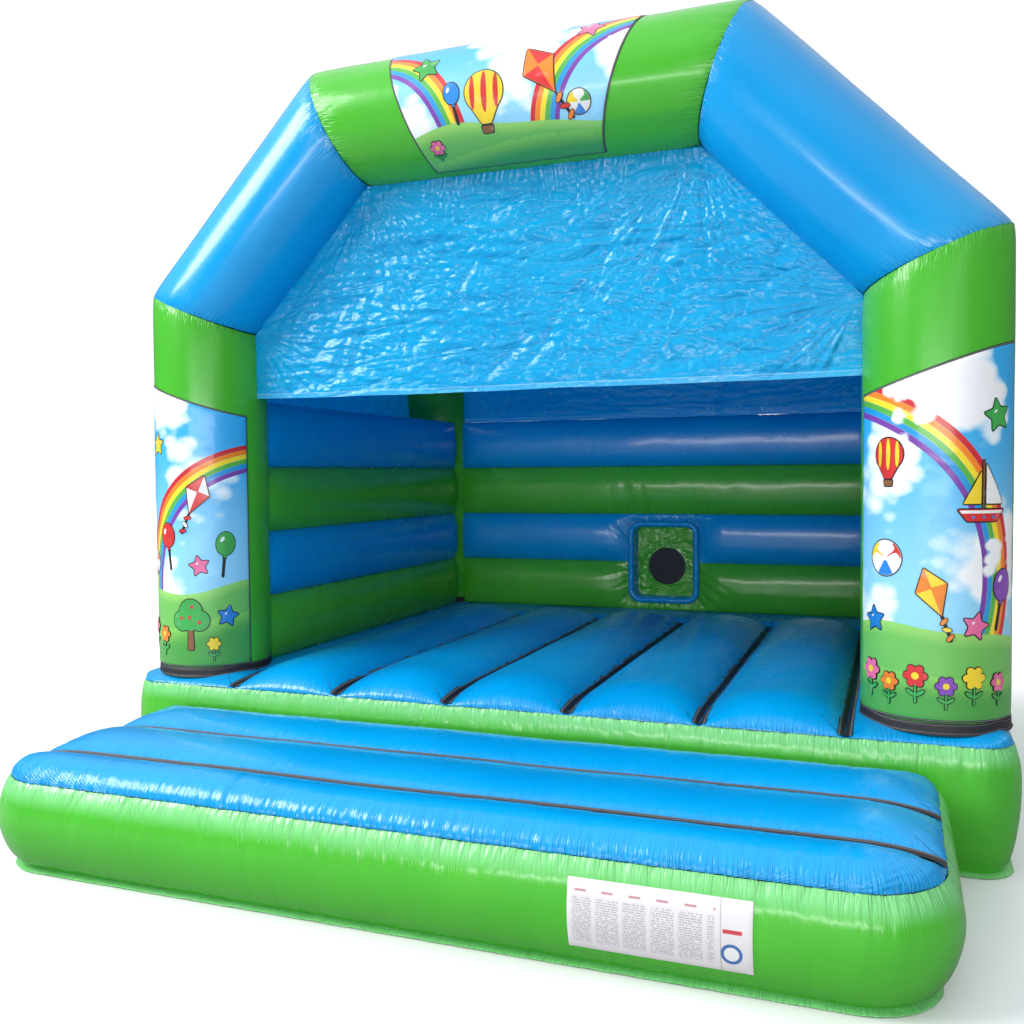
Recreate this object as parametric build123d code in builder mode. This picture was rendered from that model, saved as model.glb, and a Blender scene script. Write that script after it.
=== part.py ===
"""Inflatable bounce house: an A-frame castle with a bounce floor, three walls, a rain cover and a front step.

Frame: millimetres, +Z up, origin on the ground under the middle of the bounce platform.
+X is to the right for a person who faces the entrance, and +Y runs from the entrance to the rear.
Every inflated chamber is a closed skin with air inside, so each one is an outer solid less an inset copy of it.
"""

from build123d import *
from math import atan2, cos, degrees, radians, sin, sqrt, tan
import os

os.makedirs("parts", exist_ok=True)

# ---- driving dimensions -----------------------------------------------------------------------------------
SKIN = 3.0  # wall of an inflated chamber: two-ply sewn PVC with its seam allowance
SHEET = 2.0  # rain cover, banners and labels
GAP = 0.5  # clearance between pieces that only touch

# bounce platform
PLATFORM_W = 3660.0
PLATFORM_D = 3200.0
BULGE = 30.0  # how far the front and rear swell past the seam line
SIDE_BULGE = 50.0  # and the two sides
CORNER_R = 150.0
VALLEY_Z = 455.0  # the seams between the floor tubes
DECK_Z = 500.0  # the flat border that the columns and walls stand on
CREST_Z = 530.0  # the tops of the floor tubes
TUBE_COUNT = 7  # tube pitches across the platform; the outer two are the flat border
TUBE_PITCH = PLATFORM_W / TUBE_COUNT
TUBE_REAR_Y = 860.0  # where the floor tubes end, short of the rear wall
SIDE_SEAM_Z = 450.0  # where the side band meets the top panel

# frame of columns and rafters
TUBE_R = 260.0
COLUMN_X = 1610.0
COLUMN_Y = 1320.0
EAVES_Z = 2175.0  # where the column's axis meets the rafter's
RIDGE_X = 850.0
RIDGE_Z = 2955.0  # the top beam's axis

# walls
BAND_H = 316.0
BAND_COUNT = 4
WALL_T = 350.0  # between the seam lines of its two faces
WALL_SWELL = 38.0
WALL_INNER_X = 1424.0
WALL_INNER_Y = 1183.0
WALL_TOP_Z = DECK_Z + BAND_COUNT * BAND_H
REAR_GABLE_Y = 1200.0
WALL_CENTRE_X = WALL_INNER_X + WALL_T / 2
WALL_CENTRE_Y = WALL_INNER_Y + WALL_T / 2
FOOT_TAPE_H = 28.0

# rain cover
ROOF_OFFSET = 208.0  # outward from the axes of the frame tubes
HEM_Z = 1765.0

# rear window
WINDOW_X = 45.0
WINDOW_Z = 815.0
WINDOW_W = 400.0
WINDOW_H = 470.0
WINDOW_R = 50.0
FRAME_W = 34.0
VENT_R = 128.0
VENT_Y = 1295.0
VENT_Z = 780.0
MESH_PITCH = 20.0
MESH_HOLE = 15.0
MESH_COUNT = 13

# front step
STEP_W = 3310.0
STEP_FRONT_R = 270.0  # its corners in plan, broad in front and tight against the platform
STEP_REAR_R = 120.0
STEP_FRONT_Y = -2730.0
STEP_REAR_Y = -1642.0
STEP_VALLEY_Z = 360.0
STEP_CREST_Z = 410.0
STEP_SEAMS_Y = (-2430.0, -2045.0)
STEP_SIDE_SEAM_Z = 325.0
LABEL_X = 875.0
LABEL_Z = 180.0
LABEL_W = 510.0
LABEL_H = 200.0

# banners
BANNER_ANGLE = 72.0
BANNER_GAP = 2.3
BANNER_BOTTOM_Z = 536.0
BANNER_TOP_Z = 1765.0
BANNER_SLOPE = 19.0  # its top edge runs parallel to the mitre above it
TOP_BANNER_HALF = 458.0  # half its width at the height of the beam's axis
TOP_BANNER_ANGLES = (-76.0, 78.0)
LOOP_TAPE_T = 1.4
LOOP_TAPE_W = 24.0
LOOP_TAPE_SHOWS = 9.0

# anchor points
ANCHOR_YS = (-1250.0, 0.0, 1250.0)
RING_ROD_R = 4.0
RING_W = 58.0
RING_BAR_Z = 112.0
RING_OUT = 16.0  # from the side band to the ring's bar

# air supply
AIR_X = 900.0
AIR_Z = 165.0
AIR_TUBE_R = 100.0
AIR_TUBE_END_Y = 2110.0
SCROLL_R = 190.0
SCROLL_W = 190.0
SCROLL_Z = 265.0
SCROLL_Y = 2380.0
DUCT_FRONT_Y = 2140.0
COLLAR_R = 92.0
COLLAR_FRONT_Y = 2050.0
INLET_R = 92.0
GRILLE_SCREW_R = 104.0
WHEEL_R = 126.0
BLADE_COUNT = 24
MOTOR_R = 76.0

# zip
ZIP_X = -1250.0
ZIP_LENGTH = 640.0
ZIP_Z = 225.0

# worked out from the above
BLOCK_W = PLATFORM_W + 2 * SIDE_BULGE
BLOCK_D = PLATFORM_D + 2 * BULGE
SIDE_X = BLOCK_W / 2
REAR_Y = BLOCK_D / 2
FLOOR_SEAMS_X = [(k - (TUBE_COUNT - 2) / 2) * TUBE_PITCH for k in range(TUBE_COUNT - 1)]
FLOOR_HALF = TUBE_PITCH * (TUBE_COUNT - 2) / 2
RAFTER_TURN = atan2(COLUMN_X - RIDGE_X, RIDGE_Z - EAVES_Z)  # from vertical
EAVES_MITRE = RAFTER_TURN / 2
RIDGE_MITRE = (radians(90) - RAFTER_TURN) / 2


def save(part, name):
    """Labels a finished piece and writes it as the node of that name."""
    part.label = name
    export_step(part, f"parts/{name}.step")


def mirrored(part):
    """The same piece on the other side of the castle."""
    return mirror(part, about=Plane.YZ)


def grouped(solids):
    """Separate solids that share one node."""
    return Compound(children=[s for piece in solids for s in piece.solids()])


# ---- platform and step ------------------------------------------------------------------------------------
def plan_outline(width, depth, front_r, rear_r, centre_y, inset):
    """A rectangle seen from above, with its own radius at the front corners and at the rear ones."""
    with BuildSketch() as outline:
        with Locations((0, centre_y)):
            Rectangle(width - 2 * inset, depth - 2 * inset)
        fillet(outline.vertices().group_by(Axis.Y)[0], front_r - inset)
        fillet(outline.vertices().group_by(Axis.Y)[-1], rear_r - inset)
    return outline.sketch


def rounded_block(outline, height, top_r, bottom_r, inset):
    """A cushion-shaped block on the ground, with its faces moved in by inset."""
    with BuildPart() as block:
        with BuildSketch(Plane.XY.offset(inset)):
            add(outline)
        extrude(amount=height - 2 * inset)
        fillet(block.edges().group_by(Axis.Z)[-1], top_r - inset)
        fillet(block.edges().group_by(Axis.Z)[0], bottom_r - inset)
    return block.part


def roll_outlines(seams, valley_z, crest_z, inset):
    """The sections of a row of air rolls in a vertical plane: one arc from each seam to the next."""
    outlines = []
    for low, high in zip(seams[:-1], seams[1:]):
        half = (high - low) / 2
        middle = (high + low) / 2
        rise = crest_z - valley_z
        radius = (half * half + rise * rise) / (2 * rise)
        foot_z = crest_z - radius + sqrt((radius - inset) ** 2 - half**2)
        with BuildLine() as outline:
            ThreePointArc((low, foot_z), (middle, crest_z - inset), (high, foot_z))
            Polyline((high, foot_z), (high, valley_z - 90), (low, valley_z - 90), (low, foot_z))
        outlines.append(outline.edges())
    return outlines


def end_outline(start, end, top_z, bottom_z, radius, inset):
    """A side view with rounded top corners, which rounds the ends of the rolls."""
    low = start + inset
    high = end - inset
    top = top_z - inset
    bend = radius - inset
    turn = bend * (1 - cos(radians(45)))
    with BuildLine() as outline:
        ThreePointArc((low, top - bend), (low + turn, top - turn), (low + bend, top))
        Line((low + bend, top), (high - bend, top))
        ThreePointArc((high - bend, top), (high - turn, top - turn), (high, top - bend))
        Polyline((high, top - bend), (high, bottom_z), (low, bottom_z), (low, top - bend))
    return outline.edges()


def floor_tubes(inset):
    """The five tubes of the bounce floor, which run from front to rear."""
    sections = roll_outlines(FLOOR_SEAMS_X, VALLEY_Z, CREST_Z, inset)
    side_view = end_outline(-PLATFORM_D / 2 - 6, TUBE_REAR_Y, CREST_Z + 6, VALLEY_Z - 90, 100, inset)
    with BuildPart() as tubes:
        with BuildSketch(Plane.XZ.offset(BLOCK_D / 2)):
            for section in sections:
                make_face(section)
        extrude(amount=-BLOCK_D)
        with BuildSketch(Plane.YZ.offset(-PLATFORM_W / 2)):
            make_face(side_view)
        extrude(amount=PLATFORM_W, mode=Mode.INTERSECT)
    return tubes.part


def platform(inset):
    """The whole platform as one solid: block, flat border and floor tubes."""
    with BuildPart() as border:
        with BuildSketch(Plane.XY.offset(VALLEY_Z - 90)):
            RectangleRounded(PLATFORM_W - 40 - 2 * inset, PLATFORM_D - 40 - 2 * inset, 110 - inset)
            with Locations((0, (TUBE_REAR_Y - PLATFORM_D) / 2)):
                Rectangle(2 * (FLOOR_HALF + inset), TUBE_REAR_Y + PLATFORM_D + 2 * inset, mode=Mode.SUBTRACT)
        extrude(amount=DECK_Z - VALLEY_Z + 90 - inset)
        fillet(border.faces().sort_by(Axis.Z)[-1].outer_wire().edges(), 18 - inset)
    outline = plan_outline(BLOCK_W, BLOCK_D, CORNER_R, CORNER_R, 0, inset)
    block = rounded_block(outline, VALLEY_Z, 75, 60, inset)
    tubes = floor_tubes(inset)
    with BuildPart() as whole:
        add(block)
        add(border.part)
        add(tubes)
    return whole.part


def step_chamber(inset):
    """The front step as one solid, with three rolls that run from side to side."""
    depth = STEP_REAR_Y - STEP_FRONT_Y
    centre_y = (STEP_REAR_Y + STEP_FRONT_Y) / 2
    seams = (STEP_FRONT_Y + 18 + inset, *STEP_SEAMS_Y, STEP_REAR_Y - 12 - inset)
    sections = roll_outlines(seams, STEP_VALLEY_Z, STEP_CREST_Z, inset)
    front_view = end_outline(-STEP_W / 2 + 12, STEP_W / 2 - 12, STEP_CREST_Z + 2, STEP_VALLEY_Z - 90, 80, inset)
    with BuildPart() as rolls:
        with BuildSketch(Plane.YZ.offset(-STEP_W / 2)):
            for section in sections:
                make_face(section)
        extrude(amount=STEP_W)
        with BuildSketch(Plane.XZ.offset(-STEP_REAR_Y)):
            make_face(front_view)
        extrude(amount=depth, mode=Mode.INTERSECT)
        with BuildSketch(Plane.XY.offset(STEP_VALLEY_Z - 120)):
            add(plan_outline(STEP_W, depth, STEP_FRONT_R, STEP_REAR_R, centre_y, inset + 14))
        extrude(amount=240, mode=Mode.INTERSECT)
    outline = plan_outline(STEP_W, depth, STEP_FRONT_R, STEP_REAR_R, centre_y, inset)
    block = rounded_block(outline, STEP_VALLEY_Z, 60, 45, inset)
    with BuildPart() as whole:
        add(block)
        add(rolls.part)
    return whole.part


def skin_of(outer, inner):
    """The closed skin between a chamber's outside and its inset copy."""
    with BuildPart() as skin:
        add(outer)
        add(inner, mode=Mode.SUBTRACT)
    return skin.part


def cut_panels(skin, seam_z, centre_y, core_w, core_d):
    """Cuts a chamber's skin into the panels it is sewn from: underside, side band and top."""
    sheet_z = 2 * SKIN
    mid_z = seam_z / 2
    with BuildPart() as core:
        with Locations((0, centre_y, mid_z)):
            Box(core_w, core_d, 2 * seam_z, align=(Align.CENTER, Align.CENTER, Align.MIN))
    with BuildPart() as above:
        with Locations((0, centre_y, seam_z)):
            Box(2 * core_w, 2 * core_d, seam_z, align=(Align.CENTER, Align.CENTER, Align.MIN))
        add(core.part)
    with BuildPart() as below:
        with Locations((0, centre_y, sheet_z)):
            Box(2 * core_w, 2 * core_d, seam_z, align=(Align.CENTER, Align.CENTER, Align.MAX))
    with BuildPart() as top:
        add(skin)
        add(above.part, mode=Mode.INTERSECT)
    with BuildPart() as underside:
        add(skin)
        add(below.part, mode=Mode.INTERSECT)
    with BuildPart() as band:
        add(skin)
        add(above.part, mode=Mode.SUBTRACT)
        add(below.part, mode=Mode.SUBTRACT)
    return underside.part, band.part, top.part


def baffle_row(positions, along_y, length, bottom_z, top_z, holes, centre_y):
    """Internal webs that hold the top to the underside, each with holes that let the air through."""
    plane_of = Plane.YZ if along_y else Plane.XZ
    with BuildPart() as webs:
        for at in positions:
            offset = at if along_y else -at
            with BuildSketch(plane_of.offset(offset - 1)):
                with Locations((centre_y if along_y else 0, (bottom_z + top_z) / 2)):
                    Rectangle(length, top_z - bottom_z)
                    with GridLocations(length / holes, 1, holes, 1):
                        Circle((top_z - bottom_z) * 0.22, mode=Mode.SUBTRACT)
            extrude(amount=2)
    return webs.part


# ---- tubes of the frame -----------------------------------------------------------------------------------
def mitred_tube(start, end, start_turn, end_turn, y):
    """A hollow tube in the vertical plane at y, from start to end in (x, z), its ends cut by mitre planes.

    The turns are the angles of the end planes from square, positive when the plane leans anticlockwise.
    """
    run = Vector(end[0] - start[0], 0, end[1] - start[1])
    along = run.normalized()
    angle = atan2(along.Z, along.X)
    pieces = []
    for inset in (0, SKIN):
        ends = []
        for (x, z), turn, sign in ((start, start_turn, 1), (end, end_turn, -1)):
            lean = angle + turn
            normal = Vector(cos(lean), 0, sin(lean)) * sign
            ends.append(Plane(origin=Vector(x, y, z) + normal * (inset + GAP / 2), z_dir=normal))
        overrun = 2 * TUBE_R
        base = Plane(origin=Vector(start[0], y, start[1]) - along * overrun, z_dir=along)
        with BuildPart() as tube:
            with BuildSketch(base):
                Circle(TUBE_R - inset)
            extrude(amount=run.length + 2 * overrun)
            for plane in ends:
                split(bisect_by=plane, keep=Keep.TOP)
        pieces.append(tube.part)
    return skin_of(*pieces)


def frame_at(y, prefix):
    """The two columns, two rafters and top beam of one A-frame."""
    eaves_right = (COLUMN_X, EAVES_Z)
    ridge_left = (-RIDGE_X, RIDGE_Z)
    ridge_right = (RIDGE_X, RIDGE_Z)
    foot = (COLUMN_X, DECK_Z)
    column = mitred_tube(foot, eaves_right, 0, EAVES_MITRE, y)
    save(column, f"{prefix}_right_column")
    save(mirrored(column), f"{prefix}_left_column")
    rafter = mitred_tube(eaves_right, ridge_right, -EAVES_MITRE, RIDGE_MITRE, y)
    save(grouped([rafter, mirrored(rafter)]), f"{prefix}_rafters")
    beam = mitred_tube(ridge_right, ridge_left, -RIDGE_MITRE, RIDGE_MITRE, y)
    save(beam, f"{prefix}_top_beam")


# ---- walls ------------------------------------------------------------------------------------------------
def band_outline(inner, outer, low_z, inset):
    """The section of one horizontal wall tube: flat above and below, swelling on both faces."""
    bottom = low_z + GAP / 2 + inset
    top = low_z + BAND_H - GAP / 2 - inset
    middle = (bottom + top) / 2
    near = inner + inset
    far = outer - inset
    with BuildLine() as outline:
        ThreePointArc((near, bottom), (near - WALL_SWELL, middle), (near, top))
        Line((near, top), (far, top))
        ThreePointArc((far, top), (far + WALL_SWELL, middle), (far, bottom))
        Line((far, bottom), (near, bottom))
    return outline.edges()


def column_cutters(inset):
    """Cylinders that cut the ends of the wall tubes to the columns."""
    with BuildPart() as cutters:
        with BuildSketch(Plane.XY.offset(DECK_Z - 50)):
            with GridLocations(2 * COLUMN_X, 2 * COLUMN_Y, 2, 2):
                Circle(TUBE_R + GAP + inset)
        extrude(amount=BAND_COUNT * BAND_H + 100)
    return cutters.part


def side_band(index):
    """One tube of the right wall, counted from the floor. It stops at the inner face of the rear wall."""
    low_z = DECK_Z + index * BAND_H
    rear_end = WALL_INNER_Y - WALL_SWELL - GAP
    pieces = []
    for inset in (0, SKIN):
        section = band_outline(WALL_INNER_X, WALL_INNER_X + WALL_T, low_z, inset)
        cutters = column_cutters(inset)
        with BuildPart() as tube:
            with BuildSketch(Plane.XZ.offset(COLUMN_Y)):
                make_face(section)
            extrude(amount=-(COLUMN_Y + rear_end - inset))
            add(cutters, mode=Mode.SUBTRACT)
        pieces.append(tube.part)
    return skin_of(*pieces)


def rear_band(index):
    """The tubes of one band of the rear wall: one across, or three round the window."""
    low_z = DECK_Z + index * BAND_H
    runs = [(-COLUMN_X, COLUMN_X, low_z, low_z + BAND_H)]
    if index < 2:
        left = WINDOW_X - WINDOW_W / 2 - FRAME_W
        right = WINDOW_X + WINDOW_W / 2 + FRAME_W
        sill = WINDOW_Z - WINDOW_H / 2 - FRAME_W
        head = WINDOW_Z + WINDOW_H / 2 + FRAME_W
        strip = (low_z, sill) if index == 0 else (head, low_z + BAND_H)
        runs = [
            (-COLUMN_X, left, low_z, low_z + BAND_H),
            (right, COLUMN_X, low_z, low_z + BAND_H),
            (left, right, *strip),
        ]
    tubes = []
    for start, end, bottom, top in runs:
        pieces = []
        for inset in (0, SKIN):
            low_x = start + GAP + inset
            high_x = end - GAP - inset
            section = band_outline(WALL_INNER_Y, WALL_INNER_Y + WALL_T, low_z, inset)
            cutters = column_cutters(inset)
            height = top - bottom - 2 * (GAP + inset)
            with BuildPart() as tube:
                with BuildSketch(Plane.YZ.offset(low_x)):
                    make_face(section)
                extrude(amount=high_x - low_x)
                add(cutters, mode=Mode.SUBTRACT)
                if top - bottom < BAND_H:
                    with Locations((WINDOW_X, COLUMN_Y, (bottom + top) / 2)):
                        Box(2 * COLUMN_X, 3 * TUBE_R, height, mode=Mode.INTERSECT)
            pieces.append(tube.part)
        tubes.append(skin_of(*pieces))
    return tubes


# ---- build: platform --------------------------------------------------------------------------------------
platform_skin = skin_of(platform(0), platform(SKIN))
base_underside, base_side_band, bounce_floor_top = cut_panels(
    platform_skin, SIDE_SEAM_Z, 0, PLATFORM_W - 60, PLATFORM_D - 60
)
save(base_underside, "base_underside")
with BuildPart() as ported_band:
    add(base_side_band)
    # the air inlet
    with Locations(Location((AIR_X, REAR_Y, AIR_Z), (90, 0, 0))):
        Cylinder(AIR_TUBE_R - SHEET, 40, mode=Mode.SUBTRACT)
save(ported_band.part, "base_side_band")
save(bounce_floor_top, "bounce_floor_top")

save(baffle_row(FLOOR_SEAMS_X, True, PLATFORM_D - 80, 12, VALLEY_Z - 12, 9, 0), "floor_baffles")

TAPE_W = 46.0
TAPE_T = 2.0
with BuildPart() as floor_seam_tapes:
    for seam_x in FLOOR_SEAMS_X[1:-1]:
        with BuildSketch(Plane.XZ.offset(PLATFORM_D / 2 - 110)):
            # the tape bridges the valley between two swelling tubes, so it lies just above their slopes
            with Locations((seam_x, VALLEY_Z + 17)):
                Rectangle(TAPE_W, TAPE_T)
        extrude(amount=-(PLATFORM_D / 2 - 110 + TUBE_REAR_Y - 60))
    for side in (-1, 1):
        with BuildSketch(Plane.XZ.offset(PLATFORM_D / 2 - 110)):
            with Locations((side * (FLOOR_HALF + 19), DECK_Z + TAPE_T / 2 + GAP)):
                Rectangle(34, TAPE_T)
        extrude(amount=-(PLATFORM_D / 2 - 110 + TUBE_REAR_Y - 60))
save(floor_seam_tapes.part, "floor_seam_tapes")

# ---- build: frames and walls ------------------------------------------------------------------------------
frame_at(-COLUMN_Y, "front")
frame_at(COLUMN_Y, "rear")

with BuildPart() as column_foot_tapes:
    with BuildSketch(Plane.XY.offset(DECK_Z + GAP)):
        with GridLocations(2 * COLUMN_X, 2 * COLUMN_Y, 2, 2):
            Circle(TUBE_R + GAP + 3)
            Circle(TUBE_R + GAP, mode=Mode.SUBTRACT)
    extrude(amount=FOOT_TAPE_H)
    # the rear and side walls stand where the rear rings and the inner sides would run
    for wall_x in (-WALL_CENTRE_X, WALL_CENTRE_X):
        with Locations((wall_x, 0, DECK_Z + FOOT_TAPE_H / 2)):
            Box(WALL_T + 2 * WALL_SWELL + 4, 2 * COLUMN_Y, 2 * FOOT_TAPE_H, mode=Mode.SUBTRACT)
    with Locations((0, WALL_CENTRE_Y, DECK_Z + FOOT_TAPE_H / 2)):
        Box(2 * COLUMN_X, WALL_T + 2 * WALL_SWELL + 4, 2 * FOOT_TAPE_H, mode=Mode.SUBTRACT)
save(column_foot_tapes.part, "column_foot_tapes")

side_tubes = [side_band(k) for k in range(BAND_COUNT)]
rear_tubes = [rear_band(k) for k in range(BAND_COUNT)]
for colour, first in (("green", 0), ("blue", 1)):
    right = [side_tubes[first], side_tubes[first + 2]]
    save(grouped(right), f"right_wall_{colour}_tubes")
    save(grouped([mirrored(t) for t in right]), f"left_wall_{colour}_tubes")
    save(grouped(rear_tubes[first] + rear_tubes[first + 2]), f"rear_wall_{colour}_tubes")

# ---- build: rain cover ------------------------------------------------------------------------------------
def gable_sheet(y, low_z):
    """The sheet that closes the upper part of one A-frame, cut to the insides of its tubes."""
    aside = abs(y) - COLUMN_Y
    depth = max(0.0, abs(aside) - SHEET / 2)
    reach = sqrt(TUBE_R**2 - depth**2) + GAP
    side = COLUMN_X - reach
    eaves = EAVES_Z - reach * tan(EAVES_MITRE)
    ridge_x = RIDGE_X - reach * tan(RIDGE_MITRE)
    ridge_z = RIDGE_Z - reach
    with BuildPart() as sheet:
        with BuildSketch(Plane.XZ.offset(-y - SHEET / 2)):
            with BuildLine():
                Polyline(
                    (-side, low_z),
                    (-side, eaves),
                    (-ridge_x, ridge_z),
                    (ridge_x, ridge_z),
                    (side, eaves),
                    (side, low_z),
                    (-side, low_z),
                )
            make_face()
        extrude(amount=SHEET)
    return sheet.part


save(gable_sheet(-COLUMN_Y, HEM_Z), "front_gable_sheet")
save(gable_sheet(REAR_GABLE_Y, WALL_TOP_Z + GAP), "rear_gable_sheet")

low_face = ROOF_OFFSET
high_face = ROOF_OFFSET + SHEET
roof_half = COLUMN_Y - sqrt(TUBE_R**2 - ROOF_OFFSET**2) - GAP
roof_corners = [
    ((COLUMN_X + offset, EAVES_Z + offset * tan(EAVES_MITRE)), (RIDGE_X + offset * tan(RIDGE_MITRE), RIDGE_Z + offset))
    for offset in (low_face, high_face)
]
with BuildPart() as roof_cover:
    with BuildSketch(Plane.XZ.offset(roof_half)):
        with BuildLine():
            (low_eaves, low_ridge), (high_eaves, high_ridge) = roof_corners
            Polyline(
                low_eaves,
                low_ridge,
                (-low_ridge[0], low_ridge[1]),
                (-low_eaves[0], low_eaves[1]),
                (-high_eaves[0], high_eaves[1]),
                (-high_ridge[0], high_ridge[1]),
                high_ridge,
                high_eaves,
                low_eaves,
            )
        make_face()
    extrude(amount=-2 * roof_half)
save(roof_cover.part, "roof_cover")

sheet_foot_x = WALL_INNER_X + WALL_T - 10
sheet_head_x, sheet_head_z = roof_corners[0][0]
column_cut = column_cutters(0)
with BuildPart() as right_side_sheet:
    with BuildSketch(Plane.XZ.offset(roof_half)):
        with BuildLine():
            Polyline(
                (sheet_foot_x, WALL_TOP_Z + GAP),
                (sheet_head_x, sheet_head_z - 2),
                (sheet_head_x + SHEET, sheet_head_z - 2),
                (sheet_foot_x + SHEET, WALL_TOP_Z + GAP),
                (sheet_foot_x, WALL_TOP_Z + GAP),
            )
        make_face()
    extrude(amount=-2 * roof_half)
    with BuildSketch(Plane.XY.offset(DECK_Z)):
        with GridLocations(2 * COLUMN_X, 2 * COLUMN_Y, 2, 2):
            Circle(TUBE_R + GAP)
    extrude(amount=RIDGE_Z - DECK_Z, mode=Mode.SUBTRACT)
save(right_side_sheet.part, "right_side_sheet")
save(mirrored(right_side_sheet.part), "left_side_sheet")


# ---- build: banners and their loop tape -------------------------------------------------------------------
def column_wrap(low_r, high_r, half_angle, low_z, rise):
    """A curved sheet round the front of the right column, its top edge parallel to the mitre above."""
    centre = (COLUMN_X, -COLUMN_Y)
    with BuildPart() as wrap:
        with BuildSketch(Plane.XY.offset(low_z)):
            with BuildLine():
                outer = CenterArc(centre, high_r, 270 - half_angle, 2 * half_angle)
                inner = CenterArc(centre, low_r, 270 - half_angle, 2 * half_angle)
                Line(outer @ 0, inner @ 0)
                Line(outer @ 1, inner @ 1)
            make_face()
        extrude(amount=EAVES_Z - low_z)
        lean = radians(BANNER_SLOPE)
        slope = Plane(origin=(COLUMN_X, -COLUMN_Y, BANNER_TOP_Z + rise), z_dir=(-sin(lean), 0, cos(lean)))
        split(bisect_by=slope, keep=Keep.BOTTOM)
    return wrap.part


def beam_wrap(low_r, high_r, angles, half):
    """A curved sheet round the front of the top beam, wider above than below."""
    low, high = angles
    flare = tan(radians(BANNER_SLOPE))
    bottom = RIDGE_Z - 2 * TUBE_R
    top = RIDGE_Z + 2 * TUBE_R
    with BuildPart() as wrap:
        with BuildSketch(Plane.YZ.offset(-COLUMN_X)):
            with BuildLine():
                outer = CenterArc((-COLUMN_Y, RIDGE_Z), high_r, 180 - high, high - low)
                inner = CenterArc((-COLUMN_Y, RIDGE_Z), low_r, 180 - high, high - low)
                Line(outer @ 0, inner @ 0)
                Line(outer @ 1, inner @ 1)
            make_face()
        extrude(amount=2 * COLUMN_X)
        with BuildSketch(Plane.XZ.offset(COLUMN_Y - 2 * TUBE_R)):
            with BuildLine():
                Polyline(
                    (-half + 2 * TUBE_R * flare, bottom),
                    (half - 2 * TUBE_R * flare, bottom),
                    (half + 2 * TUBE_R * flare, top),
                    (-half - 2 * TUBE_R * flare, top),
                    (-half + 2 * TUBE_R * flare, bottom),
                )
            make_face()
        extrude(amount=4 * TUBE_R, mode=Mode.INTERSECT)
    return wrap.part


banner_r = TUBE_R + BANNER_GAP
right_banner = column_wrap(banner_r, banner_r + SHEET, BANNER_ANGLE, BANNER_BOTTOM_Z, 0)
save(right_banner, "right_banner")
save(mirrored(right_banner), "left_banner")
save(beam_wrap(banner_r, banner_r + SHEET, TOP_BANNER_ANGLES, TOP_BANNER_HALF), "top_banner")

tape_r = TUBE_R + 0.3
show_angle = degrees(LOOP_TAPE_SHOWS / TUBE_R)
tape_angle = degrees(LOOP_TAPE_W / TUBE_R)
tape_outside = column_wrap(
    tape_r, tape_r + LOOP_TAPE_T, BANNER_ANGLE + show_angle, BANNER_BOTTOM_Z - 6, LOOP_TAPE_SHOWS
)
tape_inside = column_wrap(
    tape_r - 1,
    tape_r + LOOP_TAPE_T + 1,
    BANNER_ANGLE + show_angle - tape_angle,
    BANNER_BOTTOM_Z - 6 + LOOP_TAPE_W,
    LOOP_TAPE_SHOWS - LOOP_TAPE_W,
)
beam_low, beam_high = TOP_BANNER_ANGLES
beam_outside = beam_wrap(
    tape_r, tape_r + LOOP_TAPE_T, (beam_low - show_angle, beam_high + show_angle), TOP_BANNER_HALF + LOOP_TAPE_SHOWS
)
beam_inside = beam_wrap(
    tape_r - 1,
    tape_r + LOOP_TAPE_T + 1,
    (beam_low - show_angle + tape_angle, beam_high + show_angle - tape_angle),
    TOP_BANNER_HALF + LOOP_TAPE_SHOWS - LOOP_TAPE_W,
)
right_loops = skin_of(tape_outside, tape_inside)
top_loops = skin_of(beam_outside, beam_inside)
save(grouped([right_loops, mirrored(right_loops), top_loops]), "banner_loop_tapes")

# ---- build: rear window -----------------------------------------------------------------------------------
frame_front = WALL_INNER_Y - WALL_SWELL + 5
frame_depth = WALL_T + 2 * WALL_SWELL - 10
frame_solids = []
for inset in (0, SKIN):
    with BuildPart() as frame_solid:
        with BuildSketch(Plane.XZ.offset(-frame_front - inset)):
            with Locations((WINDOW_X, WINDOW_Z)):
                RectangleRounded(WINDOW_W + 2 * FRAME_W - 2 * inset, WINDOW_H + 2 * FRAME_W - 2 * inset, 26 - inset)
                RectangleRounded(
                    WINDOW_W + 2 * inset, WINDOW_H + 2 * inset, WINDOW_R + inset, mode=Mode.SUBTRACT
                )
        extrude(amount=-(frame_depth - 2 * inset))
    frame_solids.append(frame_solid.part)
save(skin_of(*frame_solids), "window_frame")

with BuildPart() as window_vent_panel:
    with BuildSketch(Plane.XZ.offset(-VENT_Y - SHEET)):
        with Locations((WINDOW_X, WINDOW_Z)):
            RectangleRounded(WINDOW_W - 2 * GAP, WINDOW_H - 2 * GAP, WINDOW_R - GAP)
        with Locations((WINDOW_X, VENT_Z)):
            Circle(VENT_R, mode=Mode.SUBTRACT)
    extrude(amount=SHEET)
save(window_vent_panel.part, "window_vent_panel")

with BuildPart() as window_mesh:
    with BuildSketch(Plane.XZ.offset(-VENT_Y - 1.5)):
        with Locations((WINDOW_X, VENT_Z)):
            Circle(VENT_R - GAP)
            with GridLocations(MESH_PITCH, MESH_PITCH, MESH_COUNT, MESH_COUNT) as grid:
                spots = [g.position for g in grid.local_locations if g.position.length < VENT_R - MESH_PITCH]
            with Locations(*[(p.X, p.Y) for p in spots]):
                Rectangle(MESH_HOLE, MESH_HOLE, mode=Mode.SUBTRACT)
    extrude(amount=1)
save(window_mesh.part, "window_mesh")

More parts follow.
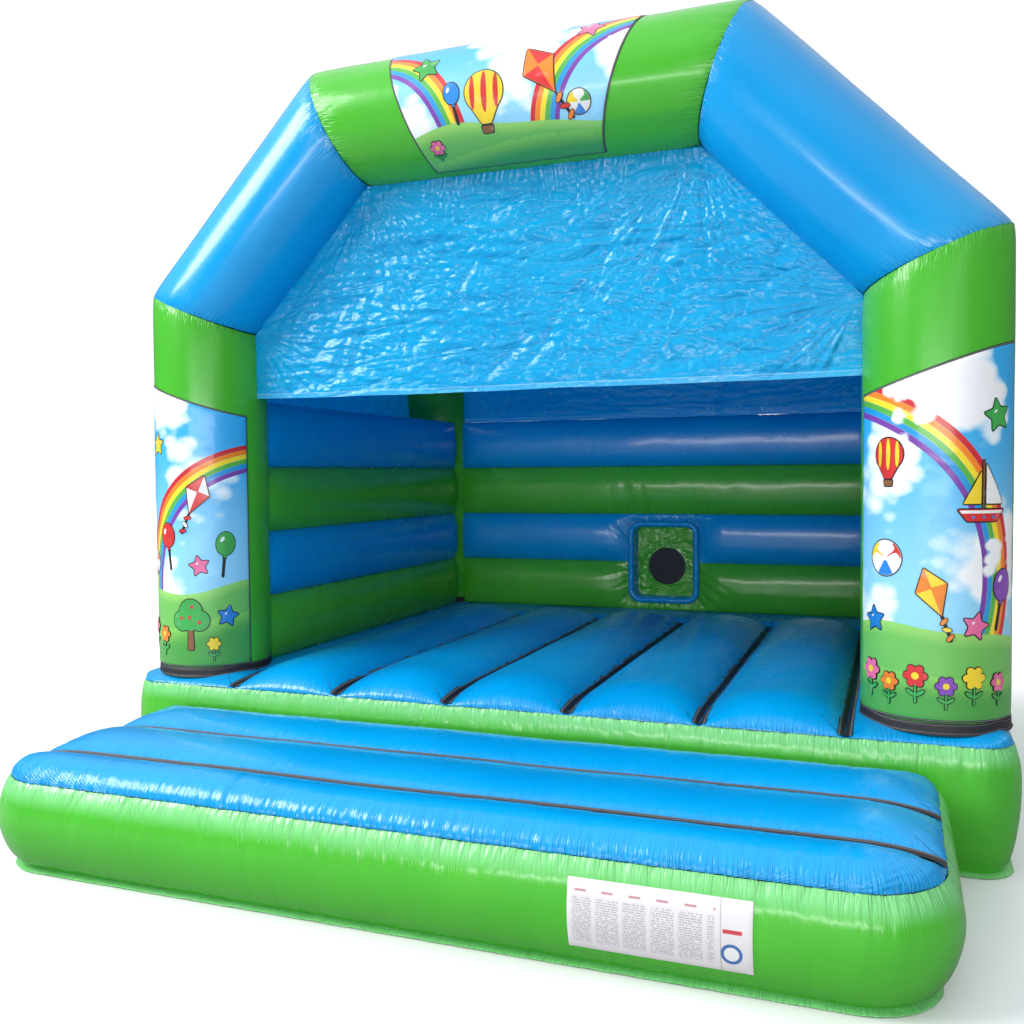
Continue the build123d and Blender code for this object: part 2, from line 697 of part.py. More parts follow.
# ---- build: front step ------------------------------------------------------------------------------------
step_depth = STEP_REAR_Y - STEP_FRONT_Y
step_centre_y = (STEP_REAR_Y + STEP_FRONT_Y) / 2
step_skin = skin_of(step_chamber(0), step_chamber(SKIN))
step_underside, step_side_band, step_top = cut_panels(
    step_skin, STEP_SIDE_SEAM_Z, step_centre_y, STEP_W - 240, step_depth - 240
)
save(step_underside, "step_underside")
save(step_side_band, "step_side_band")
save(step_top, "step_top")
save(baffle_row(STEP_SEAMS_Y, False, STEP_W - 120, 12, STEP_VALLEY_Z - 12, 11, 0), "step_baffles")

with BuildPart() as step_seam_tapes:
    for seam_y in STEP_SEAMS_Y:
        with BuildSketch(Plane.YZ.offset(-STEP_W / 2 + 90)):
            with Locations((seam_y, STEP_VALLEY_Z + 18)):
                Rectangle(TAPE_W, TAPE_T)
        extrude(amount=STEP_W - 180)
save(step_seam_tapes.part, "step_seam_tapes")

with BuildPart() as step_label:
    with Locations((LABEL_X, STEP_FRONT_Y - GAP - SHEET / 2, LABEL_Z)):
        Box(LABEL_W, SHEET, LABEL_H)
save(step_label.part, "step_label")

with BuildPart() as step_hinge_strip:
    with Locations((0, -REAR_Y - 2.5, 362)):
        Box(2 * 1450, SHEET, 76)
save(step_hinge_strip.part, "step_hinge_strip")

# ---- build: anchor points ---------------------------------------------------------------------------------
BAR_X = SIDE_X + RING_OUT
with BuildPart() as anchor_patches:
    for side in (-1, 1):
        for y in ANCHOR_YS:
            with Locations((side * (SIDE_X + GAP + 1.5), y, 116)):
                Box(3, 120, 108)
            with Locations((side * (BAR_X - 7.5), y, RING_BAR_Z)):
                Box(15, 40, 9)
            with Locations(Location((side * BAR_X, y, RING_BAR_Z), (90, 0, 0))):
                Cylinder(RING_ROD_R + 3, 40)
                Cylinder(RING_ROD_R + 0.6, 60, mode=Mode.SUBTRACT)
save(anchor_patches.part, "anchor_patches")

with BuildPart() as ring:
    with Locations(Location((0, 0, 0), (0, 90, 0))):
        Torus(RING_W / 2, RING_ROD_R)
    split(bisect_by=Plane.XY, keep=Keep.BOTTOM)
    with Locations(Location((0, 0, 0), (90, 0, 0))):
        Cylinder(RING_ROD_R, RING_W + 2 * RING_ROD_R)
for side, side_name in ((-1, "left"), (1, "right")):
    for y, y_name in zip(ANCHOR_YS, ("front", "middle", "rear")):
        save(ring.part.moved(Location((side * BAR_X, y, RING_BAR_Z))), f"{side_name}_{y_name}_anchor_ring")

# ---- build: deflation zip ---------------------------------------------------------------------------------
with BuildPart() as zip_tape:
    with Locations((ZIP_X, REAR_Y + GAP + 1, ZIP_Z)):
        Box(ZIP_LENGTH, 2, 36)
    with Locations((ZIP_X, REAR_Y + GAP + 3, ZIP_Z)):
        Box(ZIP_LENGTH - 12, 2, 6)
    with Locations((ZIP_X, REAR_Y + GAP + 8.5, ZIP_Z + 56)):
        Box(ZIP_LENGTH + 60, 17, 3)
    with Locations((ZIP_X, REAR_Y + GAP + 1, ZIP_Z + 70)):
        Box(ZIP_LENGTH + 60, 2, 30)
save(zip_tape.part, "zip_tape")

slider_x = ZIP_X - ZIP_LENGTH / 2 + 26
with BuildPart() as zip_slider:
    with Locations((slider_x, REAR_Y + GAP + 8.5, ZIP_Z)):
        Box(20, 6, 14)
    with Locations((slider_x + 20, REAR_Y + GAP + 12.5, ZIP_Z)):
        Box(48, 2.5, 8)
        Cylinder(2.2, 20, rotation=(90, 0, 0), mode=Mode.SUBTRACT)
save(zip_slider.part, "zip_slider")

with BuildPart() as zip_flap:
    with Locations((ZIP_X, REAR_Y + GAP + 19, ZIP_Z + 2)):
        Box(ZIP_LENGTH + 60, 2, 104)
save(zip_flap.part, "zip_flap")

# ---- build: air supply ------------------------------------------------------------------------------------
with BuildPart() as air_inlet_tube:
    with BuildSketch(Plane.XZ.offset(-REAR_Y - GAP)):
        with Locations((AIR_X, AIR_Z)):
            Circle(AIR_TUBE_R)
            Circle(AIR_TUBE_R - SHEET, mode=Mode.SUBTRACT)
    extrude(amount=-(AIR_TUBE_END_Y - REAR_Y - GAP))
save(air_inlet_tube.part, "air_inlet_tube")

with BuildPart() as tube_strap:
    with BuildSketch(Plane.XZ.offset(-AIR_TUBE_END_Y + 15)):
        with Locations((AIR_X, AIR_Z)):
            Circle(AIR_TUBE_R + GAP + 3)
            Circle(AIR_TUBE_R + GAP, mode=Mode.SUBTRACT)
    extrude(amount=25)
    with Locations((AIR_X, AIR_TUBE_END_Y - 27.5, AIR_Z + AIR_TUBE_R + 6)):
        Box(46, 32, 9)
save(tube_strap.part, "tube_strap")

CASE_T = 4.0
half_w = SCROLL_W / 2
with BuildPart() as housing:
    for inset in (0, CASE_T):
        mode = Mode.SUBTRACT if inset else Mode.ADD
        with Locations(Location((AIR_X, SCROLL_Y, SCROLL_Z), (0, 90, 0))):
            Cylinder(SCROLL_R - inset, SCROLL_W - 2 * inset, mode=mode)
        with Locations((AIR_X, (DUCT_FRONT_Y + inset + SCROLL_Y) / 2, SCROLL_Z - SCROLL_R + 90)):
            Box(SCROLL_W - 2 * inset, SCROLL_Y - DUCT_FRONT_Y - inset, 180 - 2 * inset, mode=mode)
        with Locations(Location((AIR_X, (COLLAR_FRONT_Y + DUCT_FRONT_Y) / 2 + 1, AIR_Z), (90, 0, 0))):
            Cylinder(COLLAR_R - inset, DUCT_FRONT_Y - COLLAR_FRONT_Y + 2 + 2 * inset, mode=mode)
    # carrying handle on the crown of the case
    with Locations((AIR_X - 20, SCROLL_Y, SCROLL_Z + SCROLL_R + 18)):
        Box(30, 150, 60)
        Box(40, 96, 26, mode=Mode.SUBTRACT)
    with Locations(Location((AIR_X, SCROLL_Y, SCROLL_Z), (0, 90, 0))):
        Cylinder(SCROLL_R - CASE_T, SCROLL_W - 2 * CASE_T, mode=Mode.SUBTRACT)
    with Locations(Location((AIR_X + half_w, SCROLL_Y, SCROLL_Z), (0, 90, 0))):
        Cylinder(INLET_R, 4 * CASE_T, mode=Mode.SUBTRACT)
        with PolarLocations(GRILLE_SCREW_R, 4, 45):
            Cylinder(2.3, 4 * CASE_T, mode=Mode.SUBTRACT)
    with Locations(Location((AIR_X - half_w, SCROLL_Y, SCROLL_Z), (0, 90, 0))):
        Cylinder(12, 4 * CASE_T, mode=Mode.SUBTRACT)
seam = Plane(origin=(AIR_X, 0, 0), z_dir=(1, 0, 0))
with BuildPart() as blower_left_housing:
    add(housing.part)
    split(bisect_by=seam.offset(-0.1), keep=Keep.BOTTOM)
save(blower_left_housing.part, "blower_left_housing")
with BuildPart() as blower_right_housing:
    add(housing.part)
    split(bisect_by=seam.offset(0.1), keep=Keep.TOP)
save(blower_right_housing.part, "blower_right_housing")

with BuildPart() as blower_impeller:
    with Locations(Location((AIR_X, SCROLL_Y, SCROLL_Z), (0, 90, 0))):
        with Locations((0, 0, -68)):
            Cylinder(WHEEL_R, 4)
        with Locations((0, 0, 44)):
            Cylinder(WHEEL_R, 4)
            Cylinder(WHEEL_R - 24, 6, mode=Mode.SUBTRACT)
        with PolarLocations(WHEEL_R - 13, BLADE_COUNT):
            with Locations(Location((0, 0, -12), (0, 0, 32))):
                Box(22, 2.5, 112)
        with Locations((0, 0, -60)):
            Cylinder(20, 40)
        with Locations((0, 0, -110)):
            Cylinder(8, 96)
save(blower_impeller.part, "blower_impeller")

motor_end_x = AIR_X - half_w - GAP
with BuildPart() as blower_motor:
    with Locations(Location((motor_end_x, SCROLL_Y, SCROLL_Z), (0, -90, 0))):
        Cylinder(MOTOR_R, 112, align=(Align.CENTER, Align.CENTER, Align.MIN))
        # cooling ribs round the casing
        with Locations((0, 0, 24), (0, 0, 44), (0, 0, 64), (0, 0, 84)):
            Cylinder(MOTOR_R + 2, 7)
        Cylinder(8.6, 74, align=(Align.CENTER, Align.CENTER, Align.MIN), mode=Mode.SUBTRACT)
save(blower_motor.part, "blower_motor")

with BuildPart() as blower_inlet_grille:
    with Locations(Location((AIR_X + half_w + GAP + 2, SCROLL_Y, SCROLL_Z), (0, 90, 0))):
        Cylinder(INLET_R + 20, 4)
        Cylinder(INLET_R - 5, 6, mode=Mode.SUBTRACT)
        for ring_r in (22, 38, 54, 70):
            Cylinder(ring_r + 2, 4)
            Cylinder(ring_r - 2, 6, mode=Mode.SUBTRACT)
        with PolarLocations(0, 4):
            Box(2 * INLET_R, 5, 4)
        Cylinder(14, 4)
        with PolarLocations(GRILLE_SCREW_R, 4, 45):
            Cylinder(2.3, 6, mode=Mode.SUBTRACT)
save(blower_inlet_grille.part, "blower_inlet_grille")

with BuildPart() as blower_screws:
    with Locations(Location((AIR_X + half_w + GAP + 4.3, SCROLL_Y, SCROLL_Z), (0, 90, 0))):
        with PolarLocations(GRILLE_SCREW_R, 4, 45):
            Cylinder(4.5, 3, align=(Align.CENTER, Align.CENTER, Align.MIN))
            Cylinder(2.0, 16, align=(Align.CENTER, Align.CENTER, Align.MAX))
            with Locations((0, 0, 2)):
                Box(1.2, 6, 2, mode=Mode.SUBTRACT)
save(blower_screws.part, "blower_screws")

with BuildPart() as blower_feet:
    for x in (AIR_X - 70, AIR_X + 70):
        with Locations((x, SCROLL_Y + 10, 0)):
            Box(32, 300, 96, align=(Align.CENTER, Align.CENTER, Align.MIN))
    with Locations(Location((AIR_X, SCROLL_Y, SCROLL_Z), (0, 90, 0))):
        Cylinder(SCROLL_R + 0.3, 2 * SCROLL_W, mode=Mode.SUBTRACT)
    with Locations((AIR_X, SCROLL_Y - 300, SCROLL_Z - SCROLL_R - 0.3)):
        Box(2 * SCROLL_W, 600, 200, align=(Align.CENTER, Align.CENTER, Align.MIN), mode=Mode.SUBTRACT)
save(blower_feet.part, "blower_feet")

switch_x = motor_end_x - 56
with BuildPart() as blower_switch_box:
    with Locations((switch_x, SCROLL_Y, SCROLL_Z + 50)):
        Box(80, 70, 70, align=(Align.CENTER, Align.CENTER, Align.MIN))
    with Locations(Location((switch_x, SCROLL_Y, SCROLL_Z), (0, 90, 0))):
        Cylinder(MOTOR_R + 2.3, 120, mode=Mode.SUBTRACT)
    with Locations((switch_x, SCROLL_Y, SCROLL_Z + 120)):
        Box(34, 22, 24, mode=Mode.SUBTRACT)
save(blower_switch_box.part, "blower_switch_box")

with BuildPart() as blower_switch_rocker:
    with Locations((switch_x, SCROLL_Y, SCROLL_Z + 117.5)):
        Box(30, 19, 11, rotation=(0, 8, 0))
save(blower_switch_rocker.part, "blower_switch_rocker")
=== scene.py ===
"""Looks for the inflatable bounce house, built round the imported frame. Lengths are in metres, in the row's frame."""

import functools
import math

import bpy
import numpy as np
from mathutils import Matrix, Vector


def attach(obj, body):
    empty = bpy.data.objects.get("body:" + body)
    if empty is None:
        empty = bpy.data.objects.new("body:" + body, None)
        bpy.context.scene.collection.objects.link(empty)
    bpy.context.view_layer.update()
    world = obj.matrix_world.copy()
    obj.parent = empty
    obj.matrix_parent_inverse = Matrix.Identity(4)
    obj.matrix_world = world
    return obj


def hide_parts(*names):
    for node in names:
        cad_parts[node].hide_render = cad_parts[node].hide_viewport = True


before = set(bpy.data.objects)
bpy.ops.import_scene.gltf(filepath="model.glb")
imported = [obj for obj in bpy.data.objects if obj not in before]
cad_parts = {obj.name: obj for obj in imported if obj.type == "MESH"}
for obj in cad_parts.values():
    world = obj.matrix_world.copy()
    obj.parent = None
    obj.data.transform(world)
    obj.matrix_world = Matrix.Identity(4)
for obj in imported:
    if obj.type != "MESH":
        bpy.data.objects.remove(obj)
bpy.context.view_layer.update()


# ---- smooth noise, creases and puckers ----------------------------------------------------------------------
def scatter(ix, iy, seed):
    """A fixed pseudo-random number from 0 to 1 for each cell."""
    n = np.sin(ix * 127.1 + iy * 311.7 + seed * 74.7) * 43758.5453
    return n - np.floor(n)


def noise(x, y=0.0, seed=0):
    """Gradient noise, about -1 to 1."""
    x, y = np.broadcast_arrays(np.asarray(x, float), np.asarray(y, float))
    ix, iy = np.floor(x), np.floor(y)
    fx, fy = x - ix, y - iy
    ux = fx * fx * fx * (fx * (fx * 6 - 15) + 10)
    uy = fy * fy * fy * (fy * (fy * 6 - 15) + 10)

    def corner(dx, dy):
        turn = scatter(ix + dx, iy + dy, seed) * math.tau
        return np.cos(turn) * (fx - dx) + np.sin(turn) * (fy - dy)

    low = corner(0, 0) * (1 - ux) + corner(1, 0) * ux
    high = corner(0, 1) * (1 - ux) + corner(1, 1) * ux
    return (low * (1 - uy) + high * uy) * 1.5


def pucker(s, d, seed, pitch=0.03, reach=0.05):
    """The gathers that run away from a sewn seam: s is the distance along it and d the distance from it."""
    d = np.maximum(d, 0)
    lean = 0.5 * noise(s / 0.35, 0.5, seed + 3)
    across = s / pitch + lean * d / pitch + 0.5 * noise(s / 0.2, d / 0.3, seed + 5)
    fold = np.exp(-((noise(across, d / (6 * reach) + 7.1, seed) / 0.16) ** 2))
    length = reach * (0.45 + 1.1 * np.clip(0.5 + noise(s / (1.7 * pitch), 2.5, seed + 9), 0, 1.4))
    wide = np.exp(-((noise(s / (3.2 * pitch) + lean * d / (3 * pitch), 4.5, seed + 11) / 0.2) ** 2))
    return fold * np.exp(-((d / length) ** 1.4)) + 0.8 * wide * np.exp(-((d / (2.0 * length)) ** 1.6))


def crinkle(x, y, seed, size=0.28):
    """Sharp random folds at several sizes, as in a thin coated sheet that was packed away: about -1 to 1."""
    total = 0.0
    for k, (scale, weight) in enumerate(((1.0, 0.5), (0.47, 0.3), (0.21, 0.16), (0.1, 0.07))):
        turn = 0.7 + 1.1 * k
        a = (x * math.cos(turn) - y * math.sin(turn)) / (size * scale)
        b = (x * math.sin(turn) + y * math.cos(turn)) / (size * scale)
        warp = 0.8 * noise(a * 0.7, b * 0.7, seed + 20 + k)
        fold = np.abs(noise(a * 1.5 + warp, b * 0.75 - warp, seed + k))
        total = total + weight * (1 - 2.6 * fold)
    return total


def creases(x, z, seed, count, wide, low, tall):
    """Long sharp folds across a sheet, most of them nearly level."""
    total = 0.0
    for k in range(count):
        left, up, lean, steep, long, deep = scatter(np.arange(6.0), k, seed)
        angle = (lean - 0.5) * 0.8 + (1.1 if steep > 0.78 else 0.0)
        dx, dz = x - (2 * left - 1) * wide, z - low - up * tall
        along = dx * math.cos(angle) + dz * math.sin(angle)
        across = dz * math.cos(angle) - dx * math.sin(angle) + 0.03 * noise(along / 0.3, k + 0.5, seed)
        length = 0.12 + 0.5 * long
        total = total + (deep - 0.25) * np.exp(-np.abs(across) / 0.02) * np.exp(-((along / length) ** 4))
    return total


def smooth(t):
    """0 below t = 0 and 1 above t = 1, with a smooth rise between."""
    t = np.clip(t, 0, 1)
    return t * t * (3 - 2 * t)


def stacked(*parts):
    """Coordinates, spread to one shape, as an array of points."""
    return np.stack(np.broadcast_arrays(*parts), -1)


def travel(path):
    """The distance along a line of points, from its start."""
    return np.concatenate([[0], np.cumsum(np.linalg.norm(np.diff(path, axis=0), axis=1))])


def circle(count):
    """Angles round a full turn, without the last one."""
    return np.arange(count) / count * math.tau


# ---- meshes -------------------------------------------------------------------------------------------------
class Shape:
    """Grids of points that become one mesh. UVs hold (distance along a seam, distance from it), in metres."""

    def __init__(self):
        self.points, self.quads, self.uvs, self.kinds, self.count = [], [], [], [], 0

    def grid(self, points, uv=None, wrap=False, keep=None, flip=False, kind=0):
        nu, nv = points.shape[:2]
        rows = nu if wrap else nu - 1
        i = np.repeat(np.arange(rows), nv - 1)
        j = np.tile(np.arange(nv - 1), rows)
        if keep is not None:
            chosen = keep[i, j]
            i, j = i[chosen], j[chosen]
        k = (i + 1) % nu
        quads = stacked(i * nv + j, k * nv + j, k * nv + j + 1, i * nv + j + 1)
        if uv is None:
            uv = np.full((nu + 1, nv, 2), 9.0)
        last = np.minimum(i + 1, len(uv) - 1)
        loops = np.stack([uv[i, j], uv[last, j], uv[last, j + 1], uv[i, j + 1]], 1)
        if flip:
            quads, loops = quads[:, ::-1], loops[:, ::-1]
        self.points.append(points.reshape(-1, 3))
        self.quads.append(quads + self.count)
        self.uvs.append(loops)
        self.kinds.append(np.full(len(quads), kind))
        self.count += nu * nv
        return self

    def build(self, name, finishes, node=None, body="castle"):
        """One visible piece, for the node that it is named after, or another one, or none where node is empty."""
        points = np.concatenate(self.points).astype(np.float32)
        quads = np.concatenate(self.quads).astype(np.int32)
        mesh = bpy.data.meshes.new(name)
        mesh.vertices.add(len(points))
        mesh.vertices.foreach_set("co", points.ravel())
        mesh.loops.add(quads.size)
        mesh.loops.foreach_set("vertex_index", quads.ravel())
        mesh.polygons.add(len(quads))
        mesh.polygons.foreach_set("loop_start", np.arange(0, quads.size, 4, dtype=np.int32))
        mesh.polygons.foreach_set("use_smooth", np.ones(len(quads), bool))
        mesh.polygons.foreach_set("material_index", np.concatenate(self.kinds).astype(np.int32))
        layer = mesh.uv_layers.new(name="UVMap")
        layer.data.foreach_set("uv", np.concatenate(self.uvs).astype(np.float32).ravel())
        mesh.update(calc_edges=True)
        mesh.validate()
        finishes = finishes if isinstance(finishes, list) else [finishes]
        for finish in finishes:
            mesh.materials.append(finish.material)
        piece = bpy.data.objects.new(name, mesh)
        bpy.context.scene.collection.objects.link(piece)
        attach(piece, body)
        node = name.removesuffix("_soft") if node is None else node
        if node:
            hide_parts(node)
        return piece


def displace(points, height, wrap=False, flip=False):
    """Moves a grid's points along its own normals."""
    du = np.roll(points, -1, 0) - np.roll(points, 1, 0) if wrap else np.gradient(points, axis=0)
    dv = np.gradient(points, axis=1)
    normal = np.cross(du, dv)
    normal /= np.maximum(np.linalg.norm(normal, axis=-1, keepdims=True), 1e-12)
    return points + normal * np.asarray(height)[..., None] * (-1 if flip else 1)


def add_caps(shape, points, flip):
    """Closes both ends of a tube."""
    for end, turned_over in ((0, not flip), (-1, flip)):
        rim = points[:, end]
        shape.grid(np.stack([rim, np.repeat(rim.mean(0)[None], len(rim), 0)], 1), wrap=True, flip=turned_over)


def mirrored(points):
    """The same grid on the other side of the castle."""
    return points * np.array([-1.0, 1.0, 1.0])


# ---- materials ----------------------------------------------------------------------------------------------
def feed(tree, value, socket):
    """Sets an input to a plain value, or links a shader number or an output to it."""
    if isinstance(value, (Value, bpy.types.NodeSocket)):
        tree.links.new(getattr(value, "socket", value), socket)
    else:
        socket.default_value = value


class Value:
    """A number in a shader, so that patterns can be written as sums."""

    def __init__(self, tree, socket):
        self.tree, self.socket = tree, socket

    def math(self, operation, *others):
        node = self.tree.nodes.new("ShaderNodeMath")
        node.operation = operation
        for socket, value in zip(node.inputs, (self, *others)):
            feed(self.tree, value, socket)
        return Value(self.tree, node.outputs[0])

    def __add__(self, other):
        return self.math("ADD", other)

    def __sub__(self, other):
        return self.math("SUBTRACT", other)

    def __rsub__(self, other):
        return (self * -1.0) + other

    def __mul__(self, other):
        return self.math("MULTIPLY", other)

    __radd__, __rmul__ = __add__, __mul__

    def abs(self):
        return self.math("ABSOLUTE")

    def sin(self):
        return self.math("SINE")

    def fract(self):
        return self.math("FRACT")

    def exp(self):
        return self.math("EXPONENT")

    def most(self, other):
        return self.math("MAXIMUM", other)

    def hypot(self, other):
        return (self * self + other * other).math("SQRT")

    def step(self, low, high):
        """0 at low and 1 at high, with a smooth rise between."""
        node = self.tree.nodes.new("ShaderNodeMapRange")
        node.interpolation_type = "SMOOTHSTEP"
        self.tree.links.new(self.socket, node.inputs[0])
        limits = (low, high, 0, 1) if low < high else (high, low, 1, 0)
        for socket, value in zip(node.inputs[1:5], limits):
            socket.default_value = value
        return Value(self.tree, node.outputs[0])


class Finish:
    """A material under construction, and the name of the record's slot that its pieces take their finish from; that
    name is kept but not used here.
    """

    def __init__(self, name, slot, colour, rough=0.4, **settings):
        self.slot = slot
        self.material = bpy.data.materials.new(name)
        self.material.use_nodes = True
        self.tree = self.material.node_tree
        self.shader = self.tree.nodes["Principled BSDF"]
        self.shader.inputs["Base Color"].default_value = (*colour, 1)
        self.shader.inputs["Roughness"].default_value = rough
        for key, value in settings.items():
            self.shader.inputs[key.replace("_", " ").title().replace("Ior", "IOR")].default_value = value
        self.place = self.node("ShaderNodeTexCoord").outputs["Object"]
        self.colour_socket = None
        self.height = None

    def node(self, kind):
        return self.tree.nodes.new(kind)

    def axes(self, vector=None):
        split = self.node("ShaderNodeSeparateXYZ")
        self.tree.links.new(vector or self.place, split.inputs[0])
        return [Value(self.tree, split.outputs[k]) for k in range(3)]

    def uv(self):
        node = self.node("ShaderNodeUVMap")
        node.uv_map = "UVMap"
        return self.axes(node.outputs[0])[:2]

    def vector(self, x, y, z=0.0):
        node = self.node("ShaderNodeCombineXYZ")
        for socket, value in zip(node.inputs, (x, y, z)):
            feed(self.tree, value, socket)
        return node.outputs[0]

    def stretch(self, x, y, z):
        """The object's own coordinates, scaled by a different amount each way."""
        a, b, c = self.axes()
        return self.vector(a * x, b * y, c * z)

    def grain(self, scale, detail=3.0, vector=None, distortion=0.0, roughness=0.5):
        node = self.node("ShaderNodeTexNoise")
        self.tree.links.new(vector or self.place, node.inputs["Vector"])
        for key, value in zip(("Scale", "Detail", "Roughness", "Distortion"), (scale, detail, roughness, distortion)):
            node.inputs[key].default_value = value
        return Value(self.tree, node.outputs[0])

    def cells(self, scale, vector=None, smoothness=None):
        """The distance to the nearest point of a scatter."""
        node = self.node("ShaderNodeTexVoronoi")
        self.tree.links.new(vector or self.place, node.inputs["Vector"])
        node.inputs["Scale"].default_value = scale
        if smoothness is not None:
            node.feature = "SMOOTH_F1"
            node.inputs["Smoothness"].default_value = smoothness
        return Value(self.tree, node.outputs["Distance"])

    def paint(self, colour, amount):
        """Lays a colour over what is there by amount."""
        node = self.node("ShaderNodeMix")
        node.data_type = "RGBA"
        node.clamp_factor = True
        feed(self.tree, amount, node.inputs[0])
        feed(self.tree, self.colour_socket or self.shader.inputs["Base Color"].default_value, node.inputs[6])
        node.inputs[7].default_value = (*colour, 1)
        self.colour_socket = node.outputs[2]
        self.tree.links.new(self.colour_socket, self.shader.inputs["Base Color"])
        return self

    def gloss(self, value):
        self.tree.links.new(value.socket, self.shader.inputs["Roughness"])
        return self

    def bump(self, value, distance, strength=1.0):
        node = self.node("ShaderNodeBump")
        node.inputs["Strength"].default_value = strength
        node.inputs["Distance"].default_value = distance
        self.tree.links.new(value.socket, node.inputs["Height"])
        if self.height is not None:
            self.tree.links.new(self.height, node.inputs["Normal"])
        self.height = node.outputs[0]
        self.tree.links.new(self.height, self.shader.inputs["Normal"])
        return self

    def see_through(self, colour, amount):
        """Lets light through a thin sheet."""
        glow = self.node("ShaderNodeBsdfTranslucent")
        glow.inputs[0].default_value = (*colour, 1)
        if self.height is not None:
            self.tree.links.new(self.height, glow.inputs["Normal"])
        mix = self.node("ShaderNodeMixShader")
        mix.inputs[0].default_value = amount
        self.tree.links.new(self.shader.outputs[0], mix.inputs[1])
        self.tree.links.new(glow.outputs[0], mix.inputs[2])
        self.tree.links.new(mix.outputs[0], self.tree.nodes["Material Output"].inputs[0])
        return self


WEAVE = 900.0  # threads per metre of the webbing, times a full turn
BLACK_WEB = (0.012, 0.011, 0.014)


def coated_fabric(name, slot, colour, dark, pale, rough=0.25):
    """Glossy PVC-coated polyester: a faint weave, soft unevenness in its gloss, and gathers along the seams, with
    painted shade in their folds.
    """
    f = Finish(name, slot, colour, rough, coat_weight=0.2, coat_roughness=0.1, specular_ior_level=0.4)
    f.paint(dark, f.grain(1.7, 2).step(0.35, 0.75) * 0.35)
    f.paint(pale, f.grain(5.0, 4).step(0.55, 0.8) * 0.12)
    s, d = f.uv()
    fine = f.grain(1.0, 1.5, f.vector(s * 55.0, d * 6.0))
    gathers = (fine - 0.5).abs().step(0.07, 0.0) * (d * -22.0).exp()
    # painted shade: the folds of the gathers are darkened
    f.paint(dark, gathers * 0.35)
    f.paint(tuple(c * 0.35 for c in dark), d.abs().step(0.0020, 0.0006) * 0.18)
    f.bump(gathers * -1.0, 0.0022)
    f.bump(f.grain(26.0, 3), 0.0010, 0.5)
    f.bump(f.grain(420.0, 1), 0.00015, 0.5)
    f.gloss(f.grain(9.0, 4) * 0.12 + (rough - 0.05))
    return f


def stitches(along, across, per_metre, gap):
    """1 on a row of stitches and 0 between and beside them."""
    return across.abs().step(0.0016, 0.0008) * ((along * per_metre).fract() - 0.5).abs().step(0.46, gap)


HEM_STITCH = 0.022  # from a sheet's edge to its row of stitches
HEM = (0.026, 0.024)  # and to the inner edge of its fold


def thin_sheet(name, colour, dark, glow, through):
    """The thin coated sheet of the rain cover: long creases with painted shade along them, sharp glints, a sewn hem, a
    little light through it.
    """
    f = Finish(name, "blue_pvc", colour, 0.26, coat_weight=0.25, coat_roughness=0.07, specular_ior_level=0.3)
    f.paint(dark, f.grain(2.2, 3).step(0.4, 0.75) * 0.3)
    x, y, z = f.axes()
    long_way = f.vector(x * 0.42, y * 0.42, z * 1.5)
    fold = (f.grain(5.5, 3, long_way, distortion=1.6) - 0.5).abs()
    cross = (f.grain(11.0, 2.5, f.stretch(1.3, 1.3, 0.8), distortion=1.4) - 0.5).abs()
    fine = (f.grain(34.0, 3, distortion=1.0) - 0.5).abs()
    # painted shade along the creases
    f.paint(dark, fold.step(0.04, 0.0) * 0.4)
    f.bump(fold, 0.017)
    f.bump(cross, 0.0055)
    f.bump(fine, 0.0018)
    f.gloss(f.grain(14.0, 3) * 0.16 + 0.14)
    s, d = f.uv()
    f.paint((0.10, 0.52, 0.86), d.step(*HEM) * 0.5)
    f.paint((0.60, 0.82, 0.95), stitches(s, d - HEM_STITCH, 160.0, 0.36) * 0.6)
    f.see_through(glow, through)
    return f


def stitched_tape(name, rows, thread=(0.30, 0.29, 0.30), pitch=0.007, colour=BLACK_WEB, slot="black_webbing"):
    """Black webbing: a woven surface with rows of grey stitches along it. UVs are metres along and across."""
    f = Finish(name, slot, colour, 0.55)
    s, d = f.uv()
    weave = ((s * WEAVE).sin() * (d * WEAVE).sin()).step(-1.0, 1.0)
    f.paint(tuple(c * 2.2 + 0.01 for c in colour), weave * 0.4)
    lines = functools.reduce(Value.most, [stitches(s, d - row, 1.0 / pitch, 0.38) for row in rows])
    f.paint(thread, lines)
    f.bump(weave, 0.0003)
    f.bump(lines, 0.0008)
    return f


BLUES = (0.0, 0.335, 0.74), (0.0, 0.23, 0.60), (0.01, 0.44, 0.84)
GREENS = (0.070, 0.47, 0.030), (0.04, 0.34, 0.018), (0.15, 0.58, 0.06)
blue = coated_fabric("blue_pvc", "blue_pvc", *BLUES)
green = coated_fabric("green_pvc", "green_pvc", *GREENS)
band_green = coated_fabric("green_band_pvc", "green_pvc", *GREENS)
# painted sky reflection together with dust haze: a pale mint strip in streaks under the band's top seam, fading
# downwards
dust_and_sheen_s, dust_and_sheen_d = band_green.uv()
dust_and_sheen_streaks = band_green.grain(1.0, 2, band_green.vector(dust_and_sheen_s * 14.0, dust_and_sheen_d * 3.0)) * 0.5 + 0.35
band_green.paint((0.27, 0.72, 0.33), dust_and_sheen_d.step(0.085, 0.02) * dust_and_sheen_streaks)
# a paler copy of the green fabric for the flat flange: painted sky reflection
flange_green_sky_sheen = coated_fabric("green_flange_pvc", "green_pvc", (0.22, 0.66, 0.24), GREENS[0], (0.40, 0.80, 0.45), 0.35)
sheet_blue = thin_sheet("rain_sheet_blue", (0.0, 0.42, 0.80), (0.0, 0.27, 0.62), (0.0, 0.34, 0.88), 0.16)
tape_wide = stitched_tape("floor_webbing", (-0.0215, -0.0175, 0.0175, 0.0215), (0.20, 0.20, 0.21))
tape_foot = stitched_tape("foot_tape", (0.006, 0.034), (0.14, 0.14, 0.15))
tape_edge = stitched_tape("loop_tape", (0.005,), colour=(0.010, 0.010, 0.012), slot="loop_tape")

